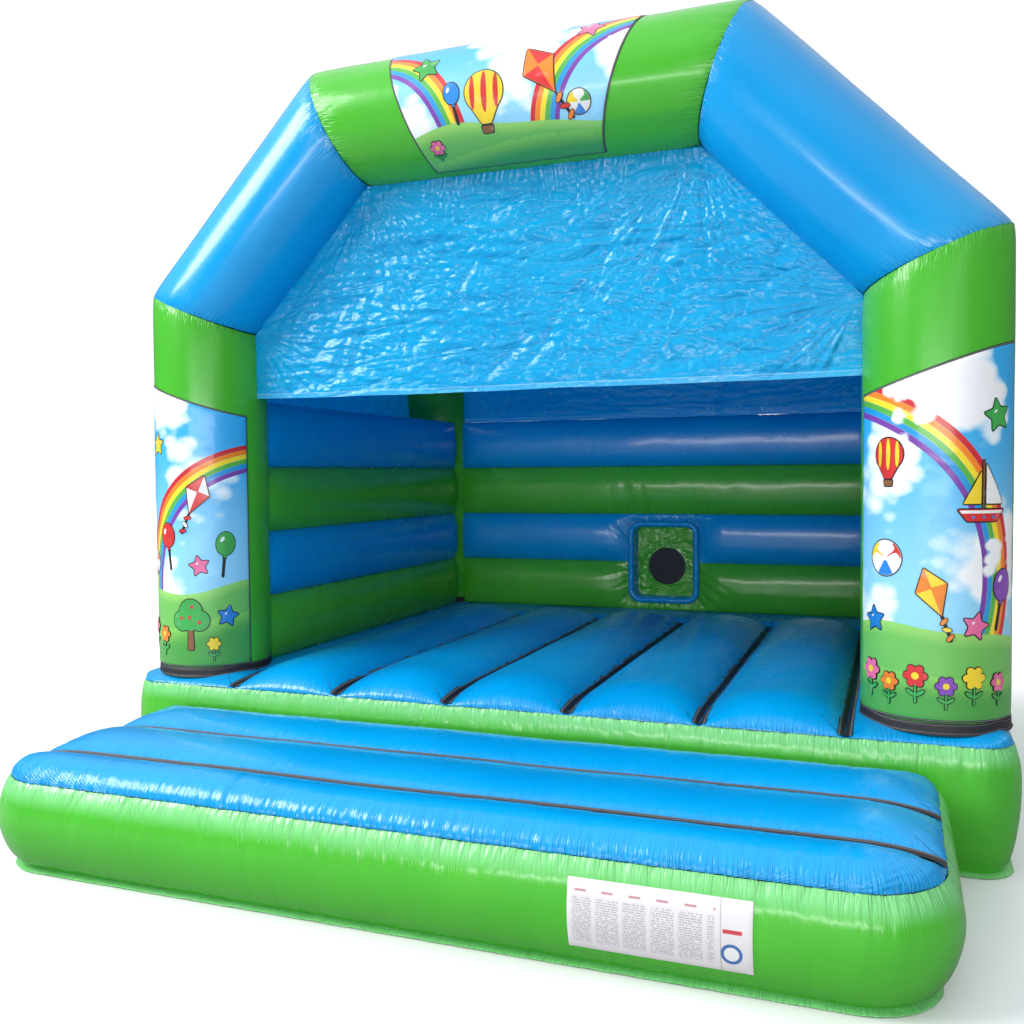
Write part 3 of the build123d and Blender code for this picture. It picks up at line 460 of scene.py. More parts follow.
# ---- the camera -----------------------------------------------------------------------------------------------
EYE, LENS, SENSOR = (1.473, -5.3746, 1.4098), 35.52, 36.0
yaw, pitch_down, tilt = 0.3632, 0.0385, -0.0084
forward = Vector((-math.sin(yaw) * math.cos(pitch_down), math.cos(yaw) * math.cos(pitch_down), -math.sin(pitch_down)))
right = forward.cross(Vector((0, 0, 1))).normalized()
up = right.cross(forward)
tilted_right = right * math.cos(tilt) + up * math.sin(tilt)
tilted_up = up * math.cos(tilt) - right * math.sin(tilt)
camera_data = bpy.data.cameras.new("camera")
camera_data.sensor_width, camera_data.lens = SENSOR, LENS
camera = bpy.data.objects.new("camera", camera_data)
turned_to = Matrix((tilted_right, tilted_up, -forward)).transposed().to_4x4()
camera.matrix_world = Matrix.Translation(EYE) @ turned_to
bpy.context.scene.collection.objects.link(camera)
bpy.context.scene.camera = camera


# ---- platform and step ----------------------------------------------------------------------------------------
WELD_Z = 0.014  # the top of the weld flange at the ground
GROOVE, GROOVE_REACH = 0.0015, 0.006  # the thread pulls a seam in by this much


class Cushion:
    """An inflated base with rounded edges: half sizes, corner radius, height of its widest line, crest and shoulder."""

    def __init__(self, ax, ay, cy, corner, wide_z, crest, length, power, seam_z, rear=None, tuck=0.05):
        self.ax, self.ay, self.cy, self.corner, self.rear = ax, ay, cy, corner, rear or corner
        self.wide_z, self.crest, self.length, self.power, self.seam_z = wide_z, crest, length, power, seam_z
        self.tuck = tuck
        rise = (seam_z - wide_z) / (crest - wide_z)
        self.inset = length * (1 - (1 - rise**power) ** (1 / power))

    def edge(self, x, y):
        """How far inside the widest outline a point lies."""
        r = np.where(np.asarray(y) > self.cy, self.rear, self.corner)
        qx = np.abs(x) - (self.ax - r)
        qy = np.abs(y - self.cy) - (self.ay - r)
        return r - np.hypot(np.maximum(qx, 0), np.maximum(qy, 0)) - np.minimum(np.maximum(qx, qy), 0)

    def around(self, x, y):
        """The distance round the outline to the nearest point of it, and how near the line is where two sides tie."""
        r = np.where(y > self.cy, self.rear, self.corner)
        qx, qy = np.abs(x) - (self.ax - r), np.abs(y - self.cy) - (self.ay - r)
        core = (qx <= 0) & (qy <= 0)
        side = np.where(core, qx > qy, (qx > 0) & (qy <= 0))
        turn = np.arctan2(np.maximum(qx, 0), np.maximum(qy, 0))
        front = np.minimum(np.abs(x), self.ax - r) + r * turn
        s = np.where(side, self.ax - r + r * math.pi / 2 - qy, front)
        s = s + np.where(y > self.cy, (self.rear - self.corner) * (2 - math.pi / 2), 0.0)
        tie = np.where(core, 1 - smooth(np.abs(qx - qy) / 0.04), 0.0)
        return np.where(x < 0, -1.0, 1.0) * s, tie

    def outline(self, step):
        """Points round the widest outline from the front left, with outward normals and the distance along it."""
        radii = (self.corner, self.rear, self.rear, self.corner)
        signs = ((1, -1), (1, 1), (-1, 1), (-1, -1))
        centres = [np.array([sx * (self.ax - r), sy * (self.ay - r)]) for (sx, sy), r in zip(signs, radii)]
        points, normals = [], []
        for k, (centre, r) in enumerate(zip(centres, radii)):
            face = (k - 1) * math.pi / 2
            out = np.array([math.cos(face), math.sin(face)])
            start, end = centres[k - 1] + out * radii[k - 1], centre + out * r
            n = max(2, int(np.linalg.norm(end - start) / step))
            points.append(start + (end - start) * np.arange(n)[:, None] / n)
            normals.append(np.repeat(out[None], n, 0))
            m = max(4, int(r * math.pi / 2 / step))
            a = face + np.arange(m) / m * math.pi / 2
            ring = stacked(np.cos(a), np.sin(a))
            points.append(centre + ring * r)
            normals.append(ring)
        points, normals = np.concatenate(points), np.concatenate(normals)
        points[:, 1] += self.cy
        return points, normals, travel(np.concatenate([points, points[:1]]))

    def face_inset(self, z):
        """How far in from the widest outline the side stands at a height."""
        low = np.clip((z - WELD_Z) / (self.wide_z - WELD_Z), 0, 1)
        rise = np.clip((z - self.wide_z) / (self.crest - self.wide_z), 0, 1)
        below = self.tuck * (1 - (1 - (1 - low) ** 1.7) ** (1 / 1.7))
        return np.where(z < self.wide_z, below, self.length * (1 - (1 - rise**self.power) ** (1 / self.power)))

    def sway(self, along, z, seed):
        """Slow swells of the side, which fade towards both of its seams."""
        fade = smooth(np.maximum(self.seam_z - z, 0) / 0.08) * smooth(np.maximum(z - WELD_Z, 0) / 0.08)
        return 0.004 * noise(along / 0.5, z / 0.25, seed + 60) * fade

    def band(self, seed, step=0.007, depth=0.0045):
        """The side band, from the underside's edge round the weld flange and up to the top seam."""
        points, normals, s = self.outline(step)
        rows = [(0.16, 0.0), (0.10, 0.0), (self.tuck + 0.006, 0.0008), (self.tuck + 0.004, 0.006), (self.tuck, 0.011)]
        heights = np.append(np.linspace(WELD_Z, self.wide_z, 14)[:-1], np.linspace(self.wide_z, self.seam_z, 19))
        rows = np.array(rows + list(zip(self.face_inset(heights), heights)))
        grid = np.zeros((len(points), len(rows), 3))
        grid[..., :2] = points[:, None] - normals[:, None] * rows[None, :, :1]
        grid[..., 2] = rows[None, :, 1]
        from_top = np.maximum(self.seam_z - rows[:, 1], 0)[None]
        from_low = np.maximum(rows[:, 1] - WELD_Z, 0)[None]
        along = s[:-1, None]
        height = -depth * pucker(along, from_top, seed)
        height += -0.7 * depth * pucker(along, from_low, seed + 40, reach=0.035) * (from_low > 0)
        height += self.sway(along, rows[None, :, 1], seed)
        height += -GROOVE * np.exp(-((from_top / GROOVE_REACH) ** 2))
        return displace(grid, height, wrap=True), stacked(s[:, None], from_top)

    def flange(self, seed, step=0.009):
        """The flat welded edge that stands out at the ground."""
        points, normals, s = self.outline(step)
        rows = [(0.012, 0.0012), (-0.026, 0.0012), (-0.030, 0.003), (-0.026, 0.0055), (-0.006, 0.0085), (0.010, 0.0125)]
        rows = np.array(rows)
        ripple = 0.0025 * noise(s[:-1, None] / 0.05, 0.5, seed) * (rows[None, :, 0] < 0)
        grid = np.zeros((len(points), len(rows), 3))
        grid[..., :2] = points[:, None] - normals[:, None] * (self.tuck + rows[None, :, :1] + 0.4 * ripple[..., None])
        grid[..., 2] = rows[None, :, 1] + np.maximum(ripple, 0) * 0.8
        return grid, stacked(s[:, None], 0.03 + rows[None, :, 0])

    def plan(self, nx, ny):
        """A grid of places inside the top seam, whose outer rows follow its rounded corners."""
        ax, ay = self.ax - self.inset, self.ay - self.inset
        front, rear = self.corner - self.inset, self.rear - self.inset
        turn = np.linspace(0, math.pi / 2, 18)
        mid = np.linspace(front - ay, ay - rear, ny)
        y = np.concatenate([(front - ay - front * np.sin(turn))[::-1], mid[1:-1], ay - rear + rear * np.sin(turn)])
        ends = (ax - front + front * np.cos(turn))[::-1], ax - rear + rear * np.cos(turn)
        w = np.concatenate([ends[0], np.full(ny - 2, ax), ends[1]])
        u = np.linspace(-1, 1, nx)
        u = u + 0.06 * np.sin(math.pi * u)
        x = u[:, None] * w[None]
        return x, np.broadcast_to(y[None] + self.cy, x.shape).copy()


PLATFORM = Cushion(1.888, 1.63, 0.0, 0.15, 0.28, 0.515, 0.13, 3.0, 0.455)
STEP = Cushion(1.658, 0.543, -2.185, 0.28, 0.185, 0.408, 0.19, 2.0, 0.328, rear=0.085, tuck=0.085)
PITCH = 3.66 / 7
FLOOR_SEAMS = [(k - 2.5) * PITCH for k in range(6)]
TUBES_END = 0.80
STEP_SEAMS = (-2.43, -2.045)


def roll(t, power=2.3, bow=0.75):
    """The rise of an air roll from its seam, t = 0, to its crest, t = 1."""
    return (1 - (1 - np.clip(t, 0, 1)) ** power) ** bow


def floor_z(x, y):
    """The bounce floor's surface, without its gathers."""
    seam = np.min([np.abs(x - s) for s in FLOOR_SEAMS], axis=0)
    inner = np.abs(x) < FLOOR_SEAMS[-1]
    valley, rear_low, low = 0.456, 0.466, PLATFORM.seam_z
    tube = valley + 0.104 * roll(seam / (PITCH / 2), 2.1, 0.58)
    border = valley + 0.045 * roll((np.abs(x) - FLOOR_SEAMS[-1]) / 0.09)
    rear = rear_low + (tube - rear_low) * roll((TUBES_END - y) / 0.16, 2.0, 0.5)
    strip = rear_low + 0.034 * roll((y - TUBES_END) / 0.06)
    top = np.where(inner, np.where(y < TUBES_END, rear, strip), border)
    e = np.maximum(PLATFORM.edge(x, y) - PLATFORM.inset, 0)
    from_side = PLATFORM.ax - PLATFORM.inset - np.abs(x)
    from_front = PLATFORM.ay - PLATFORM.inset - np.abs(y)
    t = np.minimum(np.minimum(from_side / 0.10, from_front / 0.30), e / 0.06)
    swell = 0.0035 * noise(x / 0.45, y / 0.45, 52) * smooth(e / 0.1)
    return low + (top - low) * roll(t, 2.4, 0.6) + swell


def step_z(x, y):
    """The step's top surface, without its gathers."""
    seam = np.min([np.abs(y - s) for s in STEP_SEAMS], axis=0)
    valley, low = 0.346, STEP.seam_z
    top = valley + 0.066 * roll(seam / 0.19, 2.1, 0.62)
    e = np.maximum(STEP.edge(x, y) - STEP.inset, 0)
    from_side = np.maximum(STEP.ax - STEP.inset - np.abs(x), 0)
    t = np.minimum(np.minimum(e / 0.17, from_side / 0.24), 1)
    swell = 0.0035 * noise(x / 0.45, y / 0.45, 57) * smooth(e / 0.1)
    return low + (top - low) * roll(t, 2.2, 0.62) + swell


def cushion_top(cushion, surface, seams, along_y, nx, ny, seed, depth, seam_depth, seam_reach):
    """The top panel of a cushion: its surface with gathers along the outer seam and the inner ones."""
    x, y = cushion.plan(nx, ny)
    z = surface(x, y)
    e = np.maximum(cushion.edge(x, y) - cushion.inset, 0)
    s, tie = cushion.around(x, y)
    height = -depth * pucker(s, e, seed)
    across, run = (x, y) if along_y else (y, x)
    nearest = np.min([np.abs(across - v) for v in seams], axis=0)
    side = sum((across > v) * 3.7 for v in seams)
    inner = seam_depth * pucker(run + side * 9, nearest, seed + 30, reach=seam_reach)
    height += -inner * smooth(e / 0.05)
    height += -GROOVE * np.exp(-((e / GROOVE_REACH) ** 2))
    grid = displace(stacked(x, y, z), height)
    d = np.minimum(e, nearest + 0.006) + 0.3 * tie
    uv = stacked(np.where(e < nearest, s, run + side * 9), d)
    return grid, uv


STEP_SWAY = 5  # the seed of the step's band, whose label lies on the same swells


def build_sides(cushion, name, body, band_seed, flange_seed):
    """The side band of a cushion, with the flange at its foot in a paler green, a painted reflection of the sky on the
    flange's flat top.
    """
    sides = Shape().grid(*cushion.band(band_seed), wrap=True).grid(*cushion.flange(flange_seed), wrap=True, kind=1)
    sides.build(f"{name}_side_band_soft", [band_green, flange_green_sky_sheen], body=body)


build_sides(PLATFORM, "base", "castle", 1, 3)
floor_grid = cushion_top(PLATFORM, floor_z, FLOOR_SEAMS, True, 430, 330, 2, 0.0013, 0.0015, 0.035)
floor_top = Shape().grid(*floor_grid).build("bounce_floor_soft", blue, "bounce_floor_top")
build_sides(STEP, "step", "step", STEP_SWAY, 4)
step_grid = cushion_top(STEP, step_z, STEP_SEAMS, False, 520, 170, 7, 0.0042, 0.003, 0.028)
step_top = Shape().grid(*step_grid).build("step_top_soft", blue, body="step")

base_grey = Finish("base_grey_pvc", "grey_pvc", (0.17, 0.17, 0.18), 0.6)
base_grey.paint((0.10, 0.10, 0.10), base_grey.grain(8.0, 4).step(0.4, 0.8) * 0.6)
base_grey.bump(base_grey.grain(300.0, 2), 0.0004)
UNDER_INSET = 0.06  # from the widest outline to the edge of the sheet on the ground
for cushion, name, body, seed in ((PLATFORM, "base", "castle", 71), (STEP, "step", "step", 72)):
    x, y = cushion.plan(60, 40)
    x = x * (1 - UNDER_INSET / cushion.ax)
    y = cushion.cy + (y - cushion.cy) * (1 - UNDER_INSET / cushion.ay)
    z = 0.0015 + 0.001 * noise(x / 0.3, y / 0.3, seed)
    Shape().grid(stacked(x, y, z), flip=True).build(f"{name}_underside_soft", base_grey, body=body)


TAPE_LIFT = 0.0045


def tape(shape, path, across, width, surface):
    """Webbing that lies on a surface: path holds x, y points, and across is the direction of its width."""
    v = np.linspace(-width / 2, width / 2, 7)
    places = path[:, None] + np.multiply.outer(v, across)
    bed = path[:, None] + np.multiply.outer(v * 0.75, across)
    z = surface(bed[..., 0], bed[..., 1]) + TAPE_LIFT
    uv = stacked(travel(path)[:, None], v[None])
    shape.grid(stacked(places[..., 0], places[..., 1], z), uv, flip=across[0] > 0)


floor_tapes, step_tapes = Shape(), Shape()
y = np.linspace(-PLATFORM.ay + PLATFORM.inset + 0.004, TUBES_END, 330)
for seam_x in FLOOR_SEAMS:
    tape(floor_tapes, stacked(seam_x, y), (1, 0), 0.052, floor_z)
floor_tapes.build("floor_webbing_soft", tape_wide, "floor_seam_tapes")
x = np.linspace(-STEP.ax + STEP.inset + 0.004, STEP.ax - STEP.inset - 0.004, 420)
for seam_y in STEP_SEAMS:
    tape(step_tapes, stacked(x, seam_y), (0, 1), 0.046, step_z)
step_tapes.build("step_webbing_soft", tape_wide, "step_seam_tapes", "step")

# ---- the A-frames ---------------------------------------------------------------------------------------------
TUBE_R, COLUMN_X, COLUMN_Y, FOOT_Z = 0.26, 1.61, 1.32, 0.486
EAVES_Z, RIDGE_X, RIDGE_Z = 2.175, 0.85, 2.955
TURN = math.atan2(COLUMN_X - RIDGE_X, RIDGE_Z - EAVES_Z)
WALL_LOW, UP = 0.5, np.array([0.0, 0.0, 1.0])


def tube(start, end, start_normal, end_normal, y, seed, foot=None, sides=132, step=0.011):
    """An air tube in the vertical plane at y, whose ends lie in mitre planes. Points are (x, z)."""
    a, b = np.array([start[0], y, start[1]]), np.array([end[0], y, end[1]])
    along = (b - a) / np.linalg.norm(b - a)
    side = np.array([0.0, 1.0, 0.0])
    out = np.cross(side, along)
    turn = circle(sides)
    ring = np.cos(turn)[:, None] * out + np.sin(turn)[:, None] * side
    first = -(ring @ start_normal) * TUBE_R / (along @ start_normal)
    last = np.linalg.norm(b - a) - (ring @ end_normal) * TUBE_R / (along @ end_normal)
    if foot is not None:
        first = foot(a + ring * TUBE_R) - a[2]
    rows = int(np.linalg.norm(b - a) / step)
    w = np.linspace(0, 1, rows)
    w = w - 0.08 * np.sin(math.tau * w)
    run = first[:, None] + (last - first)[:, None] * w[None]
    near = np.minimum(run - first[:, None], last[:, None] - run)
    radius = TUBE_R - 0.007 * np.exp(-near / 0.03)
    s = TUBE_R * turn[:, None]
    ends = np.where(run - first[:, None] < last[:, None] - run, 0.0, 50.0)
    radius = radius - 0.0022 * pucker(s + ends, near, seed, pitch=0.034, reach=0.05)
    radius = radius + 0.0012 * noise(3 * np.cos(turn)[:, None], run / 0.4 + 3 * np.sin(turn)[:, None], seed + 8)
    points = a + ring[:, None] * radius[..., None] + along * run[..., None]
    s_uv = np.concatenate([s + ends, s[:1] + ends[:1] + TUBE_R * math.tau])
    uv = stacked(s_uv, np.concatenate([near, near[:1]]))
    return points, uv


def add_tube(shape, points, uv, mirror=False):
    points = mirrored(points) if mirror else points
    shape.grid(points, uv, wrap=True, flip=mirror)
    add_caps(shape, points, mirror)


def mitre(angle):
    return np.array([math.cos(angle), 0.0, math.sin(angle)])


def column_foot(places):
    """The height that a column's fabric stands at: on the floor, or on the seam of its border."""
    return np.maximum(floor_z(places[:, 0], places[:, 1]), FOOT_Z)


half_pi = math.pi / 2
low_mitre = mitre(half_pi + TURN / 2)
high_mitre = mitre((half_pi + TURN + math.pi) / 2)
far_mitre = mitre((3 * math.pi - half_pi - TURN) / 2)
eaves, ridge = (COLUMN_X, EAVES_Z), (RIDGE_X, RIDGE_Z)
for y, prefix, seed in ((-COLUMN_Y, "front", 100), (COLUMN_Y, "rear", 200)):
    column = tube((COLUMN_X, WALL_LOW), eaves, UP, low_mitre, y, seed, lambda places: column_foot(places) - 0.004)
    right_column, left_column, rafters, beam = (Shape() for _ in range(4))
    add_tube(right_column, *column)
    add_tube(left_column, *column, True)
    right_column.build(f"{prefix}_right_column_soft", green)
    left_column.build(f"{prefix}_left_column_soft", green)
    rafter = tube(eaves, ridge, low_mitre, high_mitre, y, seed + 20)
    add_tube(rafters, *rafter)
    add_tube(rafters, *rafter, True)
    rafters.build(f"{prefix}_rafters_soft", blue)
    add_tube(beam, *tube(ridge, (-RIDGE_X, RIDGE_Z), high_mitre, far_mitre, y, seed + 40))
    beam.build(f"{prefix}_top_beam_soft", green)

# ---- walls ----------------------------------------------------------------------------------------------------
BAND = 0.316
INNER_X, INNER_Y, WALL_T = 1.424, 1.183, 0.350
WINDOW = dict(x=0.045, z=0.815, w=0.234, h=0.269, r=0.03)
HOLE = Cushion(0.200, 0.235, 0.0, 0.05, 0, 1, 1, 2, 0.5)


def window_gap(x, z):
    """The distance outside the window frame's outer edge."""
    qx = np.abs(x - WINDOW["x"]) - (WINDOW["w"] - WINDOW["r"])
    qz = np.abs(z - WINDOW["z"]) - (WINDOW["h"] - WINDOW["r"])
    return np.hypot(np.maximum(qx, 0), np.maximum(qz, 0)) + np.minimum(np.maximum(qx, qz), 0) - WINDOW["r"]


def wall_face(shapes, base, along, out, s, seed, ends, swell=0.046, window=False):
    """One face of a wall: four bulging bands. shapes holds the green bands' shape and the blue bands'."""
    base, along, out = (np.array(v, float) for v in (base, along, out))
    for band in range(4):
        low = WALL_LOW + band * BAND
        z = low + BAND * (0.5 - 0.5 * np.cos(np.linspace(0, math.pi, 34)))
        if window and band < 2:
            cut = WINDOW["z"] + (-1 if band == 0 else 1) * WINDOW["h"]
            n = 9 if band == 0 else 26
            z = np.concatenate([np.linspace(low, cut, n), np.linspace(cut, low + BAND, 35 - n)[1:]])
        here, height = s[:, None], z[None]
        h = (height - low) / BAND
        near_seam = np.minimum(h, 1 - h) * BAND
        rise = np.clip(1 - np.abs(2 * h - 1) ** 2.5, 0, 1) ** 0.72
        near_end = np.minimum(here - ends[0], ends[1] - here)
        near_end = np.maximum(near_end, 0)
        bulge = swell * rise * (1 - np.exp(-near_end / 0.05)) - 0.02 * np.exp(-near_end / 0.03)
        gathers = pucker(here + 7 * band + 3 * (h > 0.5), near_seam, seed + band, pitch=0.026, reach=0.035)
        bulge = bulge - 0.0028 * gathers * rise
        bulge = bulge + 0.003 * noise(here / 0.35, height / 0.3, seed + 9)
        seam, keep = near_seam, None
        if window:
            gap = np.maximum(window_gap(here, height), 0)
            bulge = bulge * (1 - 0.95 * np.exp(-((gap / 0.075) ** 1.4)))
            turn = np.arctan2(height - WINDOW["z"], here - WINDOW["x"])
            bulge = bulge - 0.007 * pucker(turn * 0.3, gap, seed + 77, pitch=0.026, reach=0.08)
            seam = np.minimum(near_seam, gap)
        points = base + along * here[..., None] + out * bulge[..., None] + UP * height[..., None]
        if window and band < 2:
            mid_x, mid_z = (s[1:] + s[:-1]) / 2, (z[1:] + z[:-1]) / 2
            keep = HOLE.edge((mid_x - WINDOW["x"])[:, None], (mid_z - WINDOW["z"])[None]) < -0.018
        flip = np.dot(np.cross(along, UP), out) < 0
        shapes[band % 2].grid(points, stacked(here + 7 * band, seam), keep=keep, flip=flip)


def wall_top(shape, base, along, across, s, seed):
    """The crowned top of a wall's highest tube."""
    base, along, across = (np.array(v, float) for v in (base, along, across))
    t = np.linspace(-0.01, 1.01, 26)
    near = np.maximum(np.minimum(t, 1 - t), 0)[None] * WALL_T
    crown = 0.016 * (1 - np.abs(2 * t - 1) ** 3)[None]
    crown = crown - 0.002 * pucker(s[:, None], near, seed, pitch=0.026, reach=0.03)
    points = base + along * s[:, None, None] + across * (t * WALL_T)[None, :, None] + UP * crown[..., None]
    shape.grid(points, stacked(s[:, None], near), flip=np.cross(along, across)[2] < 0)


def build_wall(shapes, name):
    for shape, finish, colour in zip(shapes, (green, blue), ("green", "blue")):
        shape.build(f"{name}_wall_{colour}_soft", finish, f"{name}_wall_{colour}_tubes")


top_z = WALL_LOW + 4 * BAND
for side, name in ((1, "right"), (-1, "left")):
    shapes = [Shape(), Shape()]
    s = np.linspace(-1.32, 1.17, 250)
    wall_face(shapes, (side * INNER_X, 0, 0), (0, 1, 0), (-side, 0, 0), s, 300 + side, (-1.215, 1.150))
    s = np.linspace(-1.20, 1.20, 230)
    wall_face(shapes, (side * (INNER_X + WALL_T), 0, 0), (0, 1, 0), (side, 0, 0), s, 320 + side, (-1.15, 1.15), 0.042)
    wall_top(shapes[1], (side * INNER_X, 0, top_z), (0, 1, 0), (side, 0, 0), s, 330 + side)
    build_wall(shapes, name)

shapes = [Shape(), Shape()]
left_edge, right_edge = WINDOW["x"] - WINDOW["w"], WINDOW["x"] + WINDOW["w"]
stretches = ((-1.46, left_edge, 130), (left_edge, right_edge, 50), (right_edge, 1.46, 125))
s = np.unique(np.concatenate([np.linspace(*stretch) for stretch in stretches]))
wall_face(shapes, (0, INNER_Y, 0), (1, 0, 0), (0, -1, 0), s, 341, (-1.412, 1.412), window=True)
wall_face(shapes, (0, INNER_Y + WALL_T, 0), (1, 0, 0), (0, 1, 0), s, 361, (-1.45, 1.45), 0.04, window=True)
wall_top(shapes[1], (0, INNER_Y, top_z), (1, 0, 0), (0, 1, 0), s, 371)
build_wall(shapes, "rear")

# ---- rear window ----------------------------------------------------------------------------------------------
ring_points, ring_normals, ring_s = HOLE.outline(0.006)
LIP = 0.020  # radius of the frame's padded lip, which stands proud of both faces of the wall
a = math.pi * np.linspace(0, 1, 12)
k = np.arange(1, 11)
inner_lip = stacked(0.018 + LIP * np.cos(a), INNER_Y - 0.006 - LIP * np.sin(a))
lining = stacked(-0.002 + 0.0015 * np.sin(k), INNER_Y + 0.01 + 0.03 * k)
outer_lip = stacked(0.018 + LIP * np.cos(a), INNER_Y + WALL_T + 0.002 + LIP * np.sin(a))[::-1]
out, depth = np.concatenate([inner_lip, lining, outer_lip]).T[:, None]
lift = out - 0.0022 * pucker(ring_s[:-1, None], np.abs(out - 0.02), 402, pitch=0.02, reach=0.05)
x = WINDOW["x"] + ring_points[:, None, 0] + ring_normals[:, None, 0] * lift
z = WINDOW["z"] + ring_points[:, None, 1] + ring_normals[:, None, 1] * lift
frame_shape = Shape().grid(stacked(x, depth, z), stacked(ring_s[:, None], np.abs(out - 0.036)), wrap=True)
window_frame = frame_shape.build("window_frame_soft", blue)

VENT_Y, VENT_Z, VENT_R = 1.296, 0.780, 0.128
PANEL = (0.199, 0.234)  # half the vent panel's width and height
turn = circle(160)
direction = stacked(np.cos(turn), np.sin(turn))


def out_to_panel(d):
    """How far each direction runs from the vent's centre to the panel's edge."""
    offset = np.array([0.0, VENT_Z - WINDOW["z"]])
    far = np.full(len(d), 0.6)
    for _ in range(40):
        p = offset + d * far[:, None]
        q = np.abs(p) - PANEL
        corner = np.linalg.norm(np.maximum(q + HOLE.corner, 0), axis=1) - HOLE.corner
        far = far - np.maximum(q.max(1), corner) * 0.8
    return far


far = out_to_panel(direction)
t = np.linspace(0, 1, 22)
reach = VENT_R - 0.004 + (far - VENT_R + 0.006)[:, None] * t[None]
x = WINDOW["x"] + direction[:, None, 0] * reach
z = VENT_Z + direction[:, None, 1] * reach
y = VENT_Y + 0.008 * crinkle(x, z * 1.6, 410, 0.16) * (smooth(t / 0.2) * smooth((1 - t) / 0.15))[None]
uv = stacked(turn[:, None] * VENT_R, reach - VENT_R + 0.01)
panel = Shape().grid(stacked(x, y, z), np.concatenate([uv, uv[:1]]), wrap=True, flip=True)
panel.build("window_vent_panel_soft", green)
mesh_black = Finish("vent_mesh", "vent_mesh", (0.012, 0.012, 0.014), 0.6)
mx, _, mz = mesh_black.axes()
strands = functools.reduce(Value.most, [(m * 2100.0).sin().abs().step(0.55, 0.95) for m in (mx, mz)])
mesh_black.paint((0.05, 0.055, 0.06), strands)
mesh_black.bump(strands, 0.0006)
r = np.linspace(0.0, VENT_R, 14)
x = WINDOW["x"] + direction[:, None, 0] * r[None]
z = VENT_Z + direction[:, None, 1] * r[None]
y = VENT_Y + 0.002 + 0.003 * crinkle(x, z, 412, 0.15) * smooth((VENT_R - r) / 0.03)[None]
Shape().grid(stacked(x, y, z), wrap=True, flip=True).build("window_mesh_soft", mesh_black)


# ---- rain cover -----------------------------------------------------------------------------------------------
def gable(y, reach, seed, depth, prefix, slack, hem=1.765):
    """The crinkled sheet across one A-frame."""
    side = COLUMN_X - reach
    eaves = EAVES_Z - reach * math.tan(TURN / 2)
    ridge_x = RIDGE_X - reach * math.tan((half_pi - TURN) / 2)
    ridge_z = RIDGE_Z - reach
    rows = np.linspace(hem, ridge_z, 170)
    width = np.where(rows < eaves, side, side + (ridge_x - side) * (rows - eaves) / (ridge_z - eaves)) + 0.004
    u = np.linspace(-1, 1, 440)
    x = u[:, None] * width[None]
    z = np.broadcast_to(rows[None], x.shape)
    from_side = (1 - np.abs(u))[:, None] * width[None] * 0.8
    from_top = ridge_z - z
    hold = smooth(np.minimum(from_side, from_top) / 0.09)
    folds = (crinkle(x * 0.4, z * 1.35, seed) + 0.2 * crinkle(x, z * 1.2, seed + 60, 0.13)) * depth
    folds = folds + 0.011 * creases(x, z, seed + 90, 64, side, hem, ridge_z - hem)
    for sx in (-1, 1):
        for cx, cz, n in ((side, eaves, 17), (ridge_x, ridge_z, 19)):
            angle = np.arctan2(z - cz, x - sx * cx)
            near = np.hypot(z - cz, x - sx * cx)
            fan = np.abs(noise(angle * n / 2, near / 0.9, seed + 31 + n)) * np.exp(-near / 0.6) * smooth(near / 0.1)
            folds = folds - 1.5 * depth * fan
    sag = slack * np.sin(np.clip((z - hem) / (ridge_z - hem), 0, 1) * math.pi) * (1 - np.abs(u[:, None]) ** 3)
    gathers = 0.004 * pucker(z + 3 * (x > 0), from_side, seed + 2, pitch=0.03, reach=0.07)
    gathers = gathers + 0.005 * pucker(x, from_top, seed + 3, pitch=0.03, reach=0.08)
    free = np.exp(-(z - hem) / 0.05)
    yy = y + (folds * (1 - 0.55 * free) + sag) * hold - gathers
    hem_z = z - 0.006 * free * (0.5 + noise(x / 0.4, 0.5, seed + 6)) + 0.004 * free
    points = stacked(x, yy, hem_z)
    shape = Shape().grid(points, stacked(x, z - hem))
    piece = shape.build(f"{prefix}_gable_soft", sheet_blue, f"{prefix}_gable_sheet")


gable(-COLUMN_Y, 0.2605, 500, 0.011, "front", 0.02)
gable(1.200, 0.2316, 520, 0.008, "rear", -0.015)

ROOF = 0.208  # from the frame tubes' axes out to the cover
EAVES_IN = 1.765  # x of a side sheet's lower edge, on top of the wall
eaves_p = np.array([COLUMN_X + ROOF, EAVES_Z + ROOF * math.tan(TURN / 2)])
ridge_p = np.array([RIDGE_X + ROOF * math.tan((half_pi - TURN) / 2), RIDGE_Z + ROOF])
flip_x = np.array([-1.0, 1.0])
corners = [eaves_p, ridge_p, ridge_p * flip_x, eaves_p * flip_x]
along = np.arange(3 * 129 + 1) / 129
path = stacked(*[np.interp(along, range(4), [corner[k] for corner in corners]) for k in (0, 1)])
blur = np.exp(-((np.arange(-9, 10) / 5.0) ** 2))
blur /= blur.sum()
ends_held = np.pad(path, ((9, 9), (0, 0)), "edge")
path = stacked(*[np.convolve(ends_held[:, k], blur, "valid") for k in (0, 1)])
path_s = travel(path)
half = COLUMN_Y - math.sqrt(TUBE_R**2 - ROOF**2) + 0.004
y = np.linspace(-half, half, 240)
tangent = np.gradient(path, axis=0)
normal = stacked(-tangent[:, 1], tangent[:, 0])
normal /= np.linalg.norm(normal, axis=1, keepdims=True)
normal *= np.sign(normal[len(normal) // 2, 1])
ss, yy = path_s[:, None], y[None]
from_tube = half - np.abs(yy)
hold = smooth(from_tube / 0.12)
drop = -0.022 * np.cos(yy / half * math.pi / 2) + 0.008 * crinkle(ss, yy, 540) * hold
drop = drop - 0.004 * pucker(ss + 9 * (yy > 0), from_tube, 541, pitch=0.03, reach=0.08)
drop = drop * smooth(np.minimum(ss, path_s[-1] - ss) / 0.15)
x, z = (path[:, None, k] + normal[:, None, k] * drop for k in (0, 1))
